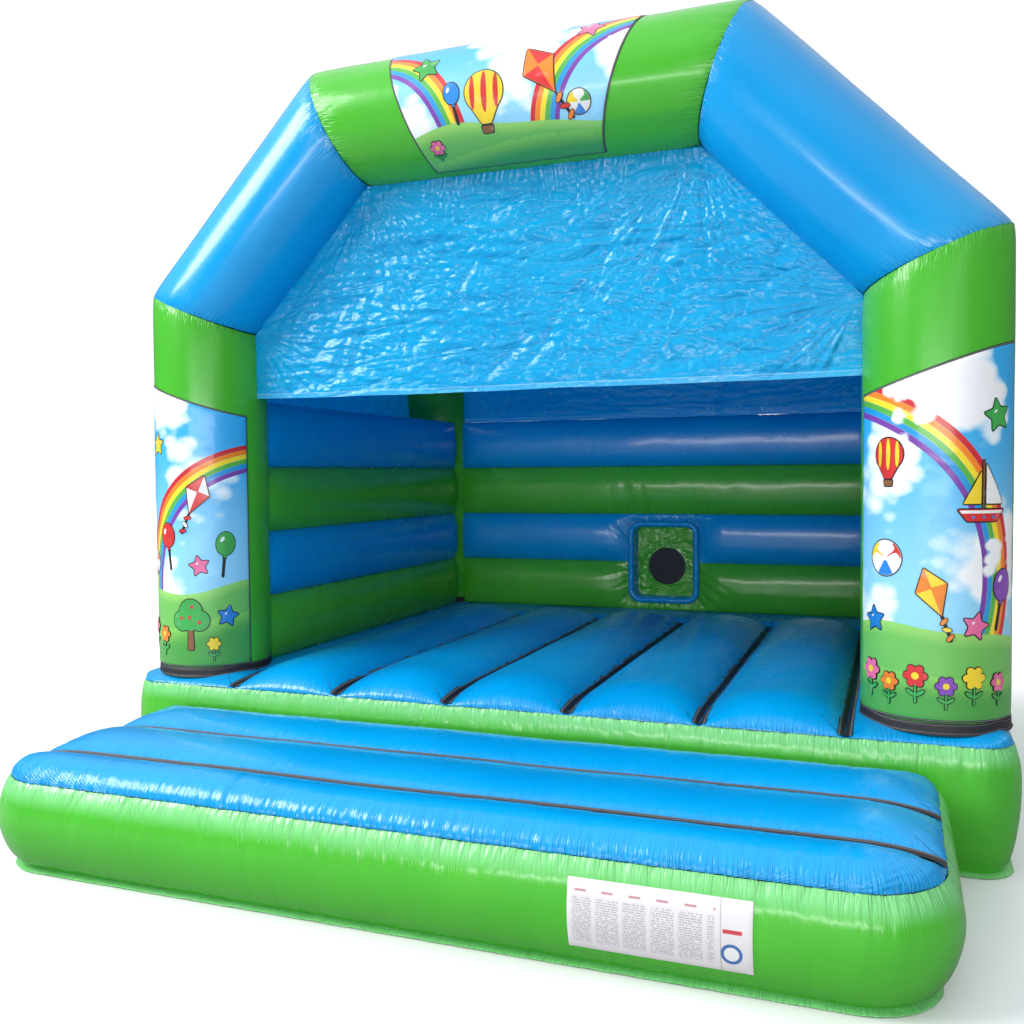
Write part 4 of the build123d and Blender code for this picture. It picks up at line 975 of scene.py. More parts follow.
roof = Shape().grid(stacked(x, yy, z)).build("roof_cover_soft", sheet_blue)

for side, name in ((1, "right"), (-1, "left")):
    z = np.linspace(top_z + 0.001, EAVES_Z + ROOF * math.tan(TURN / 2) - 0.002, 60)
    t = (z - z[0]) / (z[-1] - z[0])
    x = EAVES_IN + (COLUMN_X + ROOF - EAVES_IN) * t
    span = COLUMN_Y - np.sqrt(TUBE_R**2 - (x - COLUMN_X) ** 2) + 0.006
    u = np.linspace(-1, 1, 240)
    yy = u[:, None] * span[None]
    hold = smooth((1 - np.abs(u))[:, None] * 8) * (smooth(t * 8) * smooth((1 - t) * 8))[None]
    gathers = pucker(yy, (z - z[0])[None], 562, pitch=0.03, reach=0.05)
    bow = 0.007 * crinkle(yy, z[None], 560 + side) * hold - 0.004 * gathers
    shape = Shape().grid(stacked(side * (x[None] + bow), yy, z[None]), flip=side < 0)
    piece = shape.build(f"{name}_side_sheet_soft", sheet_blue)
    flat = (2 * float(span.max()), float(z[-1] - z[0]))

# ---- feet of the columns --------------------------------------------------------------------------------------
foot_tapes = Shape()
turn = circle(200)
ring = stacked(np.cos(turn), np.sin(turn))
rows = [(0.010, -0.001), (0.0065, 0.001), (0.005, 0.010), (0.0045, 0.024)]
rows += [(0.004, 0.039), (0.0015, 0.0405), (-0.004, 0.041)]
out, rise = np.array(rows).T[:, None]
radius = TUBE_R - 0.004 + out + 0.0012 * noise(turn[:, None] * 6, rise * 40, 600)
uv = stacked(TUBE_R * np.append(turn, math.tau)[:, None], rise)
for mirror in (True, False):
    for cy in (-COLUMN_Y, COLUMN_Y):
        low = column_foot(np.array([COLUMN_X, cy]) + ring * TUBE_R) - 0.003
        points = stacked(COLUMN_X + ring[:, :1] * radius, cy + ring[:, 1:] * radius, low[:, None] + rise)
        foot_tapes.grid(mirrored(points) if mirror else points, uv, wrap=True, flip=mirror)
foot_tapes.build("column_foot_tapes_soft", tape_foot)

# ---- banners --------------------------------------------------------------------------------------------------
BANNER_R, BANNER_HALF, BANNER_LOW, BANNER_TOP = 0.2637, math.radians(72), 0.536, 1.765
SLOPE = math.tan(math.radians(19))
BEAM_LOW, BEAM_HIGH, BEAM_HALF = math.radians(-76), math.radians(78), 0.458


def column_place(side, seed):
    """Points on a column's banner from u, metres to the right of its facing line, and h, metres above its hem."""

    def place(u, h, lift=0.0):
        angle = u / BANNER_R
        wave = 0.0012 * noise(u / 0.16, h / 0.09, seed) + 0.0007 * crinkle(u, h, seed + 4, 0.2)
        r = BANNER_R + lift + wave
        return stacked(side * COLUMN_X + r * np.sin(angle), -COLUMN_Y - r * np.cos(angle), BANNER_LOW + h)

    return place


def beam_place(u, h, lift=0.0):
    """Points on the top beam's banner: u metres right of its middle and h metres along the curve above its hem."""
    angle = BEAM_LOW + h / BANNER_R
    r = BANNER_R + lift + 0.0012 * noise(u / 0.14, h / 0.12, 710) + 0.0007 * crinkle(u, h, 714, 0.2)
    return stacked(u, -COLUMN_Y - r * np.cos(angle), RIDGE_Z + r * np.sin(angle))


def column_edge(side, u):
    """The height of a column banner's top edge above its hem."""
    return BANNER_TOP - BANNER_LOW + SLOPE * BANNER_R * np.sin(side * u / BANNER_R)


def beam_edge(h):
    """Half the top banner's width at h metres along the curve above its hem."""
    return BEAM_HALF + SLOPE * BANNER_R * np.sin(BEAM_LOW + h / BANNER_R)


RAINBOW = [
    (0.62, 0.02, 0.03),
    (0.90, 0.25, 0.01),
    (0.92, 0.72, 0.02),
    (0.10, 0.45, 0.06),
    (0.02, 0.32, 0.70),
    (0.20, 0.05, 0.38),
]
CLOUD_WHITE = (0.93, 0.96, 0.98)
SOFT = 0.0015  # half the width of a printed edge's blur
PRINT = dict(rough=0.34, coat_weight=0.3, coat_roughness=0.15)


def landscape(name, height, hill_line, rainbows, seed):
    """A printed sky with clouds, rainbows and rolling fields. UVs are metres across and up."""
    f = Finish(name, "printed_pvc", (0.30, 0.68, 0.93), **PRINT)
    u, h = f.uv()
    f.paint((0.03, 0.42, 0.84), h.step(0.30 * height, 0.9 * height))
    puffs = f.grain(1.0, 4.5, f.vector(u * 5.2 + seed, h * 7.5, seed * 0.37), roughness=0.62)
    where = f.grain(1.0, 0.5, f.vector(u * 2.4 + seed * 0.7, h * 2.6, seed * 0.11))
    lobes = 0.86 - f.cells(1.0, f.vector(u * 11.0 + seed, h * 15.0, seed), 0.35) * 0.62
    cover = puffs * 0.16 + lobes * 0.24 + where * 0.9 - 0.055
    f.paint((0.66, 0.86, 0.97), cover.step(0.59, 0.65))
    f.paint(CLOUD_WHITE, cover.step(0.635, 0.68))
    for cu, ch, radius, width in rainbows:
        far = (u - cu).hypot(h - ch)
        for k, band in enumerate(RAINBOW):
            outer = radius - k * width
            inner = outer - width
            f.paint(band, far.step(outer + SOFT, outer - SOFT) * far.step(inner - SOFT, inner + SOFT))
    f.paint(CLOUD_WHITE, cover.step(0.73, 0.76))
    far_rise = h - ((u * 6.0 + seed).sin() * 0.028 + (u * 13.0 + seed * 2.0).sin() * 0.0096)
    near_rise = h - ((u * 5.0 - seed * 1.3).sin() * 0.03 + u * 0.08)
    near_line = hill_line * 0.52
    far_hill = far_rise.step(hill_line + 0.002, hill_line - 0.002)
    near_hill = near_rise.step(near_line + 0.002, near_line - 0.002)
    f.paint((0.16, 0.52, 0.10), far_hill)
    f.paint((0.34, 0.70, 0.16), far_hill * far_rise.step(hill_line - 0.06, hill_line) * 0.8)
    f.paint((0.07, 0.36, 0.06), near_hill)
    f.paint((0.24, 0.62, 0.10), near_hill * near_rise.step(near_line - 0.09, near_line) * 0.9)
    f.paint((0.10, 0.34, 0.05), near_hill * f.grain(1.0, 3, f.vector(u * 40.0, h * 25.0)).step(0.55, 0.7) * 0.4)
    f.bump(f.grain(22.0, 3), 0.0022, 0.6)
    f.bump(f.grain(420.0, 1), 0.0002, 0.4)
    f.gloss(f.grain(12.0, 3) * 0.16 + 0.26)
    return f


def ink(name, colour):
    """Printed ink with a soft unevenness, in the banner's own gloss."""
    f = Finish(name, "printed_pvc", colour, **PRINT)
    f.paint(tuple(c * 0.6 for c in colour), f.grain(9.0, 2).step(0.4, 0.75) * 0.5)
    f.paint(tuple(c * 0.5 + 0.42 for c in colour), f.grain(17.0, 1).step(0.62, 0.75) * 0.25)
    f.bump(f.grain(420.0, 1), 0.0002, 0.4)
    return f


COLOURS = dict(
    outline=(0.006, 0.006, 0.012),
    red=(0.70, 0.03, 0.03),
    yellow=(0.92, 0.68, 0.03),
    green=(0.05, 0.42, 0.08),
    blue=(0.02, 0.25, 0.72),
    pink=(0.85, 0.16, 0.36),
    orange=(0.88, 0.24, 0.02),
    white=(0.90, 0.90, 0.88),
    brown=(0.26, 0.11, 0.04),
    purple=(0.25, 0.07, 0.48),
)
INKS = [ink(f"ink_{name}", colour) for name, colour in COLOURS.items()]
BLACK, RED, YELLOW, GREEN, BLUE, PINK, ORANGE, WHITE, BROWN, PURPLE = range(1, len(INKS) + 1)


def oval(cx, cy, rx, ry=None, turn=0.0):
    """An ellipse as a closed outline."""
    a = circle(72)
    x, y = rx * np.cos(a), (ry or rx) * np.sin(a)
    return stacked(cx + x * math.cos(turn) - y * math.sin(turn), cy + x * math.sin(turn) + y * math.cos(turn))


def rounded(corners, soften=3, n=120):
    """A closed outline through corners, which are softened."""
    corners = np.array(corners, float)
    closed = np.concatenate([corners, corners[:1]])
    run = travel(closed)
    at = np.arange(n) / n * run[-1]
    flat = stacked(*[np.interp(at, run, closed[:, k]) for k in (0, 1)])
    for _ in range(soften):
        flat = (np.roll(flat, 1, 0) + 2 * flat + np.roll(flat, -1, 0)) / 4
    return flat


def cut(x, y, r, corners, soften=3, n=120):
    """A rounded outline round (x, y), whose corners are given in units of r."""
    return rounded(np.array([x, y]) + np.array(corners) * r, soften, n)


def turned(outline, centre, angle):
    """An outline turned about a centre."""
    centre = np.array(centre, float)
    c, s = math.cos(angle), math.sin(angle)
    return (outline - centre) @ np.array([[c, s], [-s, c]]) + centre


INK_LIFT, LAYER = 0.0005, 0.00022  # how far ink stands off the sheet, and each layer off the last


class Picture:
    """Printed figures that follow a banner: each is a filled outline, anticlockwise, with a dark edge."""

    def __init__(self, shape, place):
        self.shape, self.place, self.level = shape, place, 0

    def fill(self, outline, colour, grow=0.0):
        ahead = np.roll(outline, -1, 0) - np.roll(outline, 1, 0)
        out = stacked(ahead[:, 1], -ahead[:, 0])
        out /= np.maximum(np.linalg.norm(out, axis=1, keepdims=True), 1e-9)
        outline = outline + out * grow
        centre = outline.mean(0)
        rings = np.linspace(0, 1, 7)
        flat = centre + (outline - centre)[:, None] * rings[None, :, None]
        self.level += 1
        points = self.place(flat[..., 0], flat[..., 1], INK_LIFT + LAYER * self.level)
        self.shape.grid(points, wrap=True, flip=True, kind=colour)

    def figure(self, *layers, edge=0.0045):
        """Dark edges under all the layers first, then the layers in order."""
        self.level = 0
        for outline, _ in layers:
            self.fill(outline, BLACK, edge)
        for outline, colour in layers:
            self.fill(outline, colour)

    def star(self, x, y, r, colour, turn=0.0):
        a = math.pi / 2 + turn + np.arange(10) / 10 * math.tau
        reach = np.where(np.arange(10) % 2 == 0, r, r * 0.5)
        self.figure((rounded(stacked(x + reach * np.cos(a), y + reach * np.sin(a)), 4), colour))
        self.fill(oval(x - r * 0.18, y + r * 0.22, r * 0.13, r * 0.07, 0.7), WHITE)

    def balloon(self, x, y, r, colour, lean=0.0):
        half = 0.003 / r
        string = cut(x, y, r, [(-half, -3.1), (half, -3.1), (half, -1), (-half, -1)], 1, 40)
        knot = cut(x, y, r, [(-0.16, -1.32), (0.16, -1.32), (0, -1)], 1, 40)
        body = oval(x, y, r * 0.84, r * 1.08)
        centre = (x, y - r)
        layers = ((string, BLACK), (knot, colour), (body, colour))
        self.figure(*[(turned(outline, centre, lean), ink) for outline, ink in layers], edge=0.004)
        self.fill(turned(oval(x - r * 0.32, y + r * 0.38, r * 0.15, r * 0.28, -0.5), centre, lean), WHITE)

    def air_balloon(self, x, y, r, first, second):
        basket = cut(x, y, r, [(-0.26, -1.95), (0.26, -1.95), (0.3, -1.6), (-0.3, -1.6)], 2, 60)
        throat = cut(x, y, r, [(-0.24, -1.5), (0.24, -1.5), (0.8, -0.55), (-0.8, -0.55)], 1, 80)
        self.figure((basket, BROWN), (throat, first), (oval(x, y, r, r), first))
        for k in (-0.62, 0.0, 0.62):
            self.fill(oval(x + k * r, y, r * 0.15 * (1 - 0.2 * abs(k)), r * 0.97 * math.sqrt(1 - k * k * 0.85)), second)

    def kite(self, x, y, r, colours, turn=0.0):
        half = 0.002 / r
        line = cut(x, y, r, [(-half, -2.6), (half, -2.6), (half, -1.3), (-half, -1.3)], 0, 40)
        corners = np.array([(0, 1), (-0.72, 0), (0, -1.35), (0.72, 0)])
        whole = cut(x, y, r, corners, 1)
        self.figure((turned(line, (x, y), turn), BLACK), (turned(whole, (x, y), turn), colours[0]), edge=0.0042)
        for k in range(4):
            quarter = np.stack([corners[k], corners[(k + 1) % 4], (0, 0)])
            middle = quarter.mean(0)
            panel = cut(x, y, r, middle + (quarter - middle) * 0.93, 0, 60)
            self.fill(turned(panel, (x, y), turn), colours[k % 2])
        for k in range(3):
            bow = oval(x, y - r * (1.62 + 0.4 * k), r * 0.2, r * 0.09, 0.5 * (-1) ** k)
            self.fill(turned(bow, (x, y), turn), BLACK, 0.003)
            self.fill(turned(bow, (x, y), turn), colours[k % 2])

    def sailboat(self, x, y, r):
        hull = cut(x, y, r, [(-0.62, -0.42), (0.55, -0.42), (0.95, 0), (-0.95, 0)], 2)
        mast = cut(x, y, r, [(-0.03, 0), (0.03, 0), (0.03, 1.75), (-0.03, 1.75)], 0, 40)
        main = cut(x, y, r, [(0.1, 0.2), (0.88, 0.2), (0.1, 1.62)], 2)
        jib = cut(x, y, r, [(-0.1, 0.2), (-0.1, 1.35), (-0.75, 0.2)], 2)
        self.figure((mast, BROWN), (hull, RED), (main, WHITE), (jib, YELLOW))
        self.fill(cut(x, y, r, [(-0.82, -0.14), (0.8, -0.14), (0.86, -0.03), (-0.88, -0.03)], 1), WHITE)
        for k in (-0.4, 0.0, 0.4):
            self.fill(oval(x + k * r, y - 0.27 * r, 0.055 * r), BLUE)

    def ball(self, x, y, r, colours):
        self.figure((oval(x, y, r), WHITE))
        for k, colour in enumerate(colours):
            a = (2 * k + np.linspace(0, 1, 25)) * math.pi / len(colours)
            rim = stacked(x + 0.98 * r * np.cos(a), y + 0.98 * r * np.sin(a))
            self.fill(np.concatenate([rim, [[x, y]]]), colour)
        self.fill(oval(x, y, r * 0.16), WHITE)

    def flower(self, x, y, r, colour, stem=2.6):
        stalk = cut(x, y, r, [(-0.09, -stem), (0.09, -stem), (0.07, 0), (-0.07, 0)], 0, 40)
        layers = [(stalk, GREEN)]
        for side in (-1, 1):
            layers.append((oval(x + side * 0.42 * r, y - 0.62 * stem * r, 0.42 * r, 0.16 * r, side * 0.6), GREEN))
        for a in circle(6):
            out = 0.62 * r
            layers.append((oval(x + out * math.cos(a), y + out * math.sin(a), 0.40 * r, 0.34 * r, a), colour))
        self.figure(*layers, (oval(x, y, 0.32 * r), YELLOW), edge=0.0035)

    def tree(self, x, y, r):
        trunk = cut(x, y, r, [(-0.2, -1.9), (0.2, -1.9), (0.12, 0), (-0.12, 0)], 1, 60)
        crowns = ((-0.55, -0.1, 0.62), (0.55, -0.1, 0.62), (0, 0.5, 0.72), (0, 0, 0.7))
        self.figure((trunk, BROWN), *[(oval(x + dx * r, y + dy * r, size * r), GREEN) for dx, dy, size in crowns])
        for dx, dy in ((-0.6, 0.05), (0.1, 0.75), (0.55, -0.2), (-0.05, 0.1)):
            self.fill(oval(x + dx * r, y + dy * r, 0.11 * r), RED)


def print_banner(name, place, u, h, inside, scene):
    """One banner: its sheet, pressed down along its edges, with the figures on it."""
    shape = Shape().grid(place(u, h, -0.0014 * np.exp(-inside / 0.004)), stacked(u, h))
    draw(Picture(shape, place), name)
    banner = shape.build(f"{name}_soft", [scene, *INKS], body=name)


def column_banner(side, word, seed, scene):
    name = f"{word}_banner"
    u = np.linspace(-BANNER_HALF, BANNER_HALF, 110)[:, None] * BANNER_R
    h = column_edge(side, u) * np.linspace(0, 1, 190)[None]
    inside = np.minimum(np.minimum(h, column_edge(side, u) - h), BANNER_HALF * BANNER_R - np.abs(u))
    print_banner(name, column_place(side, seed), u, h, inside, scene)


def draw(picture, name):
    """Generic toys, balloons, stars and plants."""
    if name == "right_banner":
        picture.air_balloon(-0.175, 0.93, 0.058, RED, YELLOW)
        picture.star(0.215, 1.06, 0.062, GREEN, 0.2)
        picture.sailboat(0.155, 0.735, 0.098)
        picture.ball(-0.185, 0.56, 0.064, (RED, YELLOW, BLUE))
        picture.balloon(0.235, 0.47, 0.052, PURPLE, -0.2)
        picture.kite(-0.02, 0.46, 0.075, (ORANGE, YELLOW), 0.35)
        picture.star(0.13, 0.33, 0.052, PINK, -0.25)
        picture.star(-0.235, 0.335, 0.050, BLUE, 0.1)
        picture.flower(-0.25, 0.15, 0.040, PINK, 2.4)
        picture.flower(-0.165, 0.12, 0.034, ORANGE, 2.4)
        picture.flower(-0.07, 0.15, 0.040, RED, 2.4)
        picture.flower(0.03, 0.12, 0.034, PURPLE, 2.4)
        picture.flower(0.125, 0.15, 0.040, YELLOW, 2.4)
        picture.flower(0.225, 0.13, 0.034, PINK, 2.4)
    elif name == "left_banner":
        picture.kite(0.10, 0.80, 0.080, (RED, WHITE), -0.4)
        picture.star(-0.14, 1.02, 0.055, YELLOW)
        picture.balloon(-0.06, 0.60, 0.052, RED, 0.12)
        picture.balloon(0.215, 0.56, 0.050, GREEN, -0.1)
        picture.ball(-0.20, 0.47, 0.058, (ORANGE, BLUE, RED))
        picture.star(0.10, 0.46, 0.050, PINK, 0.2)
        picture.star(0.225, 0.225, 0.052, BLUE, -0.2)
        picture.tree(0.055, 0.215, 0.075)
        picture.flower(-0.10, 0.14, 0.038, ORANGE)
        picture.flower(-0.20, 0.17, 0.040, PINK)
        picture.flower(0.16, 0.10, 0.030, YELLOW)
    else:
        picture.star(-0.335, 0.47, 0.064, GREEN, 0.3)
        picture.air_balloon(-0.075, 0.33, 0.082, YELLOW, RED)
        picture.kite(0.155, 0.40, 0.098, (ORANGE, RED), 0.55)
        picture.star(0.35, 0.56, 0.062, PINK, -0.3)
        picture.balloon(-0.21, 0.34, 0.040, BLUE, 0.15)
        picture.ball(0.315, 0.24, 0.046, (GREEN, YELLOW, BLUE))
        picture.flower(-0.315, 0.135, 0.032, PINK, 2.0)


column_banner(1, "right", 700, landscape("banner_print_right", 1.23, 0.30, [(-0.42, 0.50, 0.70, 0.021)], 2.3))
column_banner(-1, "left", 730, landscape("banner_print_left", 1.23, 0.36, [(0.42, 0.36, 0.66, 0.021)], 5.1))
BEAM_ARC = (BEAM_HIGH - BEAM_LOW) * BANNER_R
h = np.linspace(0, BEAM_ARC, 120)[None]
u = np.linspace(-1, 1, 170)[:, None]
inside = np.minimum(np.minimum(h, BEAM_ARC - h), (1 - np.abs(u)) * beam_edge(h))
top_print = landscape("banner_print_top", 0.71, 0.19, [(-0.62, 0.13, 0.46, 0.020), (0.66, 0.10, 0.56, 0.020)], 8.7)
print_banner("top_banner", beam_place, u * beam_edge(h), h, inside, top_print)

# the loop tape that shows round each banner
loops = Shape()
TAPE_R, SHOWS, TAPE_WIDE = 0.2610, 0.009, 0.024
v = np.linspace(0, 1, 4)[None] * TAPE_WIDE


def loop_strip(place, u, h, along, flip):
    """One straight run of loop tape, as wide as v runs."""
    u, h, along, across = np.broadcast_arrays(u, h, along, v)
    loops.grid(place(u, h), stacked(along, across), flip=flip)


def on_beam(u, h):
    return beam_place(u, h, TAPE_R - BANNER_R)


t = np.linspace(0, 1, 150)[:, None]
half = BANNER_HALF * BANNER_R
for side in (-1, 1):

    def on_column(u, h, side=side):
        """Points on the tape's surface, round this side's front column."""
        angle = u / BANNER_R
        x, y = side * COLUMN_X + TAPE_R * np.sin(angle), -COLUMN_Y - TAPE_R * np.cos(angle)
        return stacked(x, y, BANNER_LOW + h)

    for sign in (1, -1):
        h = (column_edge(side, -sign * half) + 2 * SHOWS) * t - SHOWS
        loop_strip(on_column, sign * (v - SHOWS - half), h, h, sign > 0)
    u = 2 * (half + SHOWS) * t - half - SHOWS
    loop_strip(on_column, u, v - SHOWS, u, False)
    loop_strip(on_column, u, column_edge(side, u) - v + SHOWS, u, True)
u = np.linspace(-1, 1, 170)[:, None]
for at, sign in ((0.0, 1), (BEAM_ARC, -1)):
    h = at + sign * (v - SHOWS)
    across_beam = u * (beam_edge(h) + SHOWS)
    loop_strip(on_beam, across_beam, h, across_beam, sign < 0)
h = np.linspace(-SHOWS, BEAM_ARC + SHOWS, 110)[:, None]
for sign in (-1, 1):
    loop_strip(on_beam, sign * (beam_edge(h) + SHOWS - v), h, h, sign < 0)
loops.build("banner_loop_tapes_soft", tape_edge)


# ---- label, hinge strip and the webs inside -------------------------------------------------------------------
LABEL_W, LABEL_H, LABEL_X, LABEL_LOW = 0.510, 0.200, 0.620, 0.080
label = Finish("step_label", "label_film", (0.74, 0.71, 0.74), 0.4)
u, v = label.uv()
columns = ((u * 13.0).fract() - 0.5).abs().step(0.45, 0.39) * u.step(0.012, 0.020) * u.step(0.415, 0.405)
rows = ((v * 150.0).fract() - 0.5).abs().step(0.34, 0.24)
ragged = label.grain(1.0, 1, label.vector(u * 260.0, (v * 150.0).math("FLOOR") * 3.3)).step(0.42, 0.46)
label.paint((0.42, 0.43, 0.46), rows * columns * ragged * v.step(0.020, 0.026) * v.step(0.158, 0.152))
heading = ((u * 13.0).fract() - 0.5).abs().step(0.24, 0.18) * u.step(0.012, 0.018) * u.step(0.415, 0.410)
label.paint((0.45, 0.10, 0.14), heading * v.step(0.166, 0.168) * v.step(0.174, 0.172) * 0.8)
badge = (u - 0.455).hypot(v - 0.055)
label.paint((0.05, 0.15, 0.42), badge.step(0.030, 0.028))
label.paint((0.80, 0.80, 0.80), badge.step(0.021, 0.019))
upper_bar = u.step(0.430, 0.434) * u.step(0.485, 0.481) * v.step(0.110, 0.113) * v.step(0.124, 0.121)
label.paint((0.55, 0.05, 0.06), upper_bar)
label.paint((0.35, 0.35, 0.36), u.step(0.424, 0.4265) * u.step(0.4285, 0.4265))
label.bump(label.grain(18.0, 3), 0.0012, 0.5)
label.gloss(label.grain(9.0, 3) * 0.2 + 0.3)
u, v = np.linspace(0, LABEL_W, 120)[:, None], np.linspace(0, LABEL_H, 50)[None]
x, z = LABEL_X + u, LABEL_LOW + v
edge = np.minimum(np.minimum(u, LABEL_W - u), np.minimum(v, LABEL_H - v))
lift = 0.0028 + 0.0007 * crinkle(u, v, 801, 0.2) - 0.0022 * np.exp(-edge / 0.004)
y = STEP.cy - STEP.ay + STEP.face_inset(z) - STEP.sway(x + STEP.ax - STEP.corner, z, STEP_SWAY) - lift
step_label = Shape().grid(stacked(x, y, z), stacked(u, v)).build("step_label_soft", label, body="step")

STRIP_HALF, STRIP_TALL, STRIP_LOW, STRIP_Y = 1.45, 0.026, 0.326, -1.6345
x, t = np.linspace(-STRIP_HALF, STRIP_HALF, 240)[:, None], np.linspace(0, 1, 9)[None]
z = STRIP_LOW + (STRIP_TALL + 0.002 * noise(x / 0.2, 0.5, 811)) * t
y = STRIP_Y + 0.0010 * noise(x / 0.08, 0.5, 812) - 0.0015 * t**2
Shape().grid(stacked(x, y, z), stacked(x, STRIP_TALL * t)).build("step_hinge_strip_soft", tape_foot)

web = Finish("baffle_fabric", "baffle_fabric", (0.42, 0.44, 0.46), 0.75)
wx, _, wz = web.axes()
weave = ((wx * 1500.0).sin() * (wz * 1500.0).sin()).step(-0.6, 0.6)
web.paint((0.26, 0.28, 0.30), weave * 0.5)
web.bump(weave, 0.0003)
webs = Shape()
WEB_HALF, WEB_LOW = 1.50, 0.012
HOLE_PITCH, HOLE_Z, HOLE_R = 3.0 / 11, 0.18, 0.074
x, t = np.linspace(-WEB_HALF, WEB_HALF, 300)[:, None], np.linspace(0, 1, 28)[None]
for seam_y in STEP_SEAMS:
    z = WEB_LOW + (step_z(x, seam_y) - 2 * WEB_LOW) * t
    hole = np.hypot(np.mod(x + WEB_HALF, HOLE_PITCH) - HOLE_PITCH / 2, z - HOLE_Z) < HOLE_R
    y = seam_y + 0.004 * noise(x / 0.2, z / 0.15, 820)
    webs.grid(stacked(x, y, z), keep=~(hole[1:, 1:] & hole[:-1, :-1]))
webs.build("step_baffles_soft", web, body="step")


# ---- anchor patches, zip and air sleeve -----------------------------------------------------------------------
def ribbon(shape, centres, across, width, thick, swap=False):
    """A flat strap along centres, whose width runs along across: a closed form with rounded edges."""
    centres = np.asarray(centres, float)
    ahead = np.gradient(centres, axis=0)
    ahead /= np.linalg.norm(ahead, axis=1, keepdims=True)
    across = np.broadcast_to(np.asarray(across, float), centres.shape)
    out = np.cross(ahead, across)
    w, h = width / 2, thick / 2
    section = [(-w, 0), (-w + h * 0.6, h), (-w / 3, h * 1.05), (w / 3, h * 1.05), (w - h * 0.6, h), (w, 0)]
    section = np.array(section + [(-a, -b) for a, b in section[1:5]])
    points = centres[None] + across[None] * section[:, None, :1] + out[None] * section[:, None, 1:]
    ring = np.append(section[:, 0], section[0, 0])
    shape.grid(points, stacked(travel(centres)[None], ring[:, None]), wrap=True, flip=not swap)
    add_caps(shape, points, not swap)


patches, straps = Shape(), Shape()
BAR_X, BAR_Z, LOOP_R = 1.896, 0.112, 0.0066  # the ring's straight bar, and the webbing's bend round it
PATCH_Z, PATCH_W, PATCH_H, PATCH_MAX_X = 0.116, 0.060, 0.054, 1.8855
u, v = np.linspace(-1, 1, 33)[:, None], np.linspace(-1, 1, 29)[None]
across, rise = PATCH_W * u * np.sqrt(1 - 0.10 * v**4 * u**2), PATCH_H * v * np.sqrt(1 - 0.10 * u**4 * v**2)
edge = np.minimum((1 - np.abs(u)) * PATCH_W, (1 - np.abs(v)) * PATCH_H)
bed = PLATFORM.ax - PLATFORM.face_inset(PATCH_Z + rise)
a = np.radians(np.linspace(118, -118, 27))
bend = [*zip(BAR_X - 0.001 + LOOP_R * np.cos(a), BAR_Z + LOOP_R * np.sin(a))]
high = [(1.8862, z) for z in np.linspace(0.158, 0.136, 6)] + [(1.8868, 0.129), (1.8885, 0.1225)]
low = [(x, 2 * BAR_Z - z) for x, z in high[::-1]]
for side in (-1, 1):
    for anchor_y in (-1.25, 0.0, 1.25):
        y, z = anchor_y + across, PATCH_Z + rise
        x = bed + 0.0058 - 0.0035 * np.exp(-edge / 0.003) + 0.0006 * noise(y / 0.03, z / 0.03, 830)
        x = np.minimum(x, PATCH_MAX_X)
        patches.grid(stacked(side * x, y, z), stacked(u * PATCH_W, edge), flip=side < 0)
        path = [(side * x, anchor_y, z) for x, z in [*high, *bend, *low]]
        ribbon(straps, path, (0, 1, 0), 0.040, 0.0018, swap=side < 0)
patches.build("anchor_patches_soft", green)
straps.build("anchor_webbing_soft", stitched_tape("anchor_webbing", (-0.012, 0.012)), "")

ZIP_X, ZIP_Y, ZIP_Z, ZIP_LONG, TOOTH = -1.25, 1.6312, 0.225, 0.64, 0.0030
FLAP_W, FLAP_H, FLAP_Y, FLAP_TOP = 0.70, 0.102, 1.6500, 0.2785
zip_cloth = stitched_tape("zip_tape", (-0.014, 0.014), pitch=0.004, colour=(0.014, 0.014, 0.016))
x = np.linspace(-ZIP_LONG / 2, ZIP_LONG / 2, 640)[:, None]
v = np.array([-0.018, -0.017, -0.010, -0.0035, -0.003, -0.0015, 0, 0.0015, 0.003, 0.0035, 0.010, 0.017, 0.018])
ridge = np.array([0, 1, 1, 1, 2.6, 3.6, 3.2, 3.6, 2.6, 1, 1, 1, 0]) * 0.001
teeth = 1 + 0.35 * np.sin(x / TOOTH * math.tau) * (np.abs(v) < 0.0034)
fastener = Shape().grid(stacked(ZIP_X + x, ZIP_Y + ridge * teeth, ZIP_Z + v), stacked(x, v), flip=True)
# the flap's sewn edge, above the zip: a folded strip that runs out to the flap's hinge line
fold = [(1.6316, 0.3095), (1.6334, 0.3085), (1.6334, 0.292), (1.6345, 0.2845), (1.638, 0.2824), (1.6475, 0.2822)]
fold = np.array(fold)
t = np.linspace(0, travel(fold)[-1], 26)[None]
y, z = (np.interp(t, travel(fold), fold[:, k]) for k in (0, 1))
x = np.linspace(-FLAP_W / 2, FLAP_W / 2, 140)[:, None]
points = stacked(ZIP_X + x, y + 0.0004 * noise(x / 0.05, 0.5, 841), z)
fastener.grid(points, stacked(x, t + 0.002), kind=1)
fastener.build("zip_tape_soft", [zip_cloth, green])

u, v = np.linspace(-FLAP_W / 2, FLAP_W / 2, 190)[:, None], np.linspace(0, FLAP_H, 40)[None]
bell = 0.0018 * noise(u / 0.07, v / 0.12, 851) * smooth(v / 0.03)
edge = np.minimum(FLAP_W / 2 - np.abs(u), FLAP_H - v)
points = stacked(ZIP_X + u, FLAP_Y + bell - 0.0006 * np.exp(-edge / 0.003), FLAP_TOP - v)
flap = Shape().grid(points, stacked(u, np.maximum(edge, 0.0))).build("zip_flap_soft", green, body="zip_flap")

